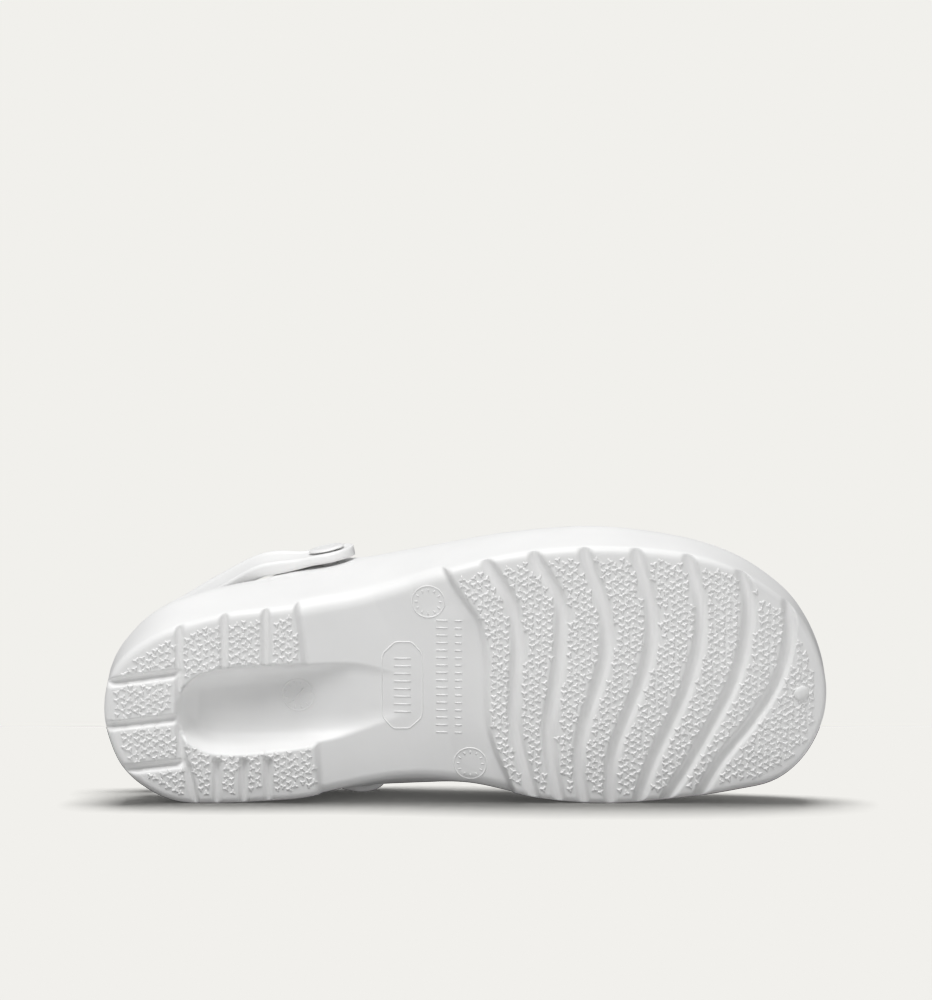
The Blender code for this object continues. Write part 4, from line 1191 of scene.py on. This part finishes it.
MOULDED = FoamFinish("moulded_foam", (0.90, 0.90, 0.895), (0.84, 0.84, 0.835), (0.40, 0.52),
                     grain=0.45 * MM, bump=0.012 * MM)
STRAP_FOAM = FoamFinish("strap_foam", (0.90, 0.90, 0.895), (0.85, 0.85, 0.845), (0.36, 0.46),
                        grain=0.40 * MM, bump=0.010 * MM)
BUTTON_PLASTIC = FoamFinish("button_plastic", (0.88, 0.88, 0.875), (0.86, 0.86, 0.855), (0.26, 0.34),
                            grain=0.6 * MM, bump=0.004 * MM)
INSOLE_FOAM = FoamFinish("insole_foam", (0.86, 0.86, 0.85), (0.80, 0.80, 0.79), (0.60, 0.74),
                         grain=0.9 * MM, bump=0.05 * MM)

# The lamps: where each hangs, its side in metres and its power in watts. The one below the floor stands for the
# light that a white table gives back.
Lamp = namedtuple("Lamp", "name place size power")
SHOE_LAMPS = (
    Lamp("key_light", (-0.25, -0.86, 1.34), 0.8, 19.6),
    Lamp("top_light", (0.05, 0.5, 1.5), 0.9, 4.4),
    Lamp("back_light", (0, 1.4, 0.95), 1.9, 3.0),
    Lamp("low_light", (-0.1, -1.6, 0.05), 0.3, 2.8),
    Lamp("under_light", (0.42, -0.75, -0.5), 0.9, 1.9),
)
FLOOR_LAMP = Lamp("floor_light", (0.0, 0.30, 1.42), 0.9, 26.0)


@dataclass
class Studio:
    """The pale floor, the soft light and the camera at the photograph's angle."""

    pieces: list
    distance: float = 2.5
    elevation: float = 2.4
    view_width: float = 0.3535
    aim: tuple[float, float, float] = (0.0, -0.040, 0.1162)
    backdrop: tuple[float, float, float] = (0.8796, 0.8714, 0.8388)
    target: tuple[float, float, float] = (0.0, -0.02, 0.04)
    fill: float = 0.20
    floor_bounce: float = 0.46
    floor_reach: float = 3.0
    floor_back: float = 0.35

    def build(self) -> None:
        """Makes floor, world, lamps and camera."""
        floor = self.floor()
        self.world()
        shoe = self.group("lit_shoe", self.pieces)
        ground = self.group("lit_floor", [floor])
        for lamp in SHOE_LAMPS:
            self.lamp(lamp, shoe)
        self.lamp(FLOOR_LAMP, ground)
        self.camera()

    def floor(self) -> bpy.types.Object:
        """The floor, which shows the backdrop's colour and the shoe's shadow."""
        mesh = bpy.data.meshes.new("floor")
        wide, back = self.floor_reach, self.floor_back
        corners = [(-wide, -wide, 0), (wide, -wide, 0), (wide, back, 0), (-wide, back, 0)]
        mesh.from_pydata(corners, [], [(0, 1, 2, 3)])
        made = add_object("floor", mesh)
        material = bpy.data.materials.new("floor_paper")
        material.use_nodes = True
        shader = material.node_tree.nodes["Principled BSDF"]
        shader.inputs["Base Color"].default_value = (*[self.floor_bounce] * 3, 1)
        shader.inputs["Roughness"].default_value = 0.9
        shader.inputs["Specular IOR Level"].default_value = 0.1
        mesh.materials.append(material)
        made.is_shadow_catcher = True
        return made

    def world(self) -> None:
        """The backdrop's colour for the camera and an even white light for the shoe."""
        world = bpy.data.worlds.new("studio")
        bpy.context.scene.world = world
        world.use_nodes = True
        nodes, link = world.node_tree.nodes, world.node_tree.links.new
        seen, light = nodes["Background"], nodes.new("ShaderNodeBackground")
        seen.inputs["Color"].default_value = (*self.backdrop, 1)
        light.inputs["Color"].default_value = (1, 1, 1, 1)
        light.inputs["Strength"].default_value = self.fill
        path, mix = nodes.new("ShaderNodeLightPath"), nodes.new("ShaderNodeMixShader")
        link(path.outputs["Is Camera Ray"], mix.inputs[0])
        link(light.outputs[0], mix.inputs[1])
        link(seen.outputs[0], mix.inputs[2])
        link(mix.outputs[0], nodes["World Output"].inputs["Surface"])
        bpy.context.scene.view_settings.view_transform = "Standard"

    def group(self, name: str, members: list) -> bpy.types.Collection:
        """Gathers objects that a lamp lights alone."""
        made = bpy.data.collections.new(name)
        for item in members:
            made.objects.link(item)
        return made

    def lamp(self, lamp: Lamp, lit: bpy.types.Collection) -> None:
        """Adds a square soft light that faces the shoe and lights one group alone."""
        data = bpy.data.lights.new(lamp.name, "AREA")
        data.shape = "SQUARE"
        data.size = lamp.size
        data.energy = lamp.power
        made = add_object(lamp.name, data)
        made.location = lamp.place
        made.rotation_mode = "QUATERNION"
        made.rotation_quaternion = (Vector(self.target) - Vector(lamp.place)).to_track_quat("-Z", "Y")
        made.visible_camera = False
        made.light_linking.receiver_collection = lit
        if lamp.place[2] < 0:
            made.light_linking.blocker_collection = lit

    def camera(self) -> None:
        """The camera, level with the shoe and a little above it."""
        data = bpy.data.cameras.new("camera")
        data.sensor_fit = "HORIZONTAL"
        data.sensor_width = 36
        data.lens = 36 * self.distance / self.view_width
        data.clip_end = 20
        made = add_object("camera", data)
        rise = math.radians(self.elevation)
        back = Vector((0, -math.cos(rise), math.sin(rise)))
        made.location = Vector(self.aim) + back * self.distance
        made.rotation_mode = "QUATERNION"
        made.rotation_quaternion = (-back).to_track_quat("-Z", "Y")
        bpy.context.scene.camera = made


def dress(made: bpy.types.Object, material: bpy.types.Material, slot: str) -> bpy.types.Object:
    """Gives a piece its finish and its body, and reports it.

    Args:
        made: The piece.
        material: Its finish.
        slot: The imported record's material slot; not used.

    Returns:
        The same piece.
    """
    made.data.materials.clear()
    made.data.materials.append(material)
    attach(made, BODY)
    LOG.info("%s: %d points, %d faces", made.name, len(made.data.vertices), len(made.data.polygons))
    return made


def main() -> None:
    """Builds the shoe's pieces in order, then the studio."""
    logging.basicConfig(level=logging.INFO, format="%(name)s %(message)s")
    group = grain_group()
    moulded = MOULDED.material(group)
    moulding = Moulding(Stance())
    pieces = [dress(moulding.build(), moulded, "moulding"),
              dress(Pimples(moulding).build(moulded), moulded, "moulding"),
              dress(MouldMarks(moulding).build(), moulded, "moulding")]
    strap = HeelStrap(moulding)
    pivots = {side: strap.pivot(side) for side in Side}
    pieces.append(dress(strap.band(pivots), STRAP_FOAM.material(group), "strap"))
    plastic = BUTTON_PLASTIC.material(group)
    for side in Side:
        pieces.append(dress(strap.button(side, pivots), plastic, "button"))
    pieces.append(dress(Insole(moulding).build(), INSOLE_FOAM.material(group), "insole_foam"))
    Studio(pieces).build()


if __name__ == "__main__":
    main()
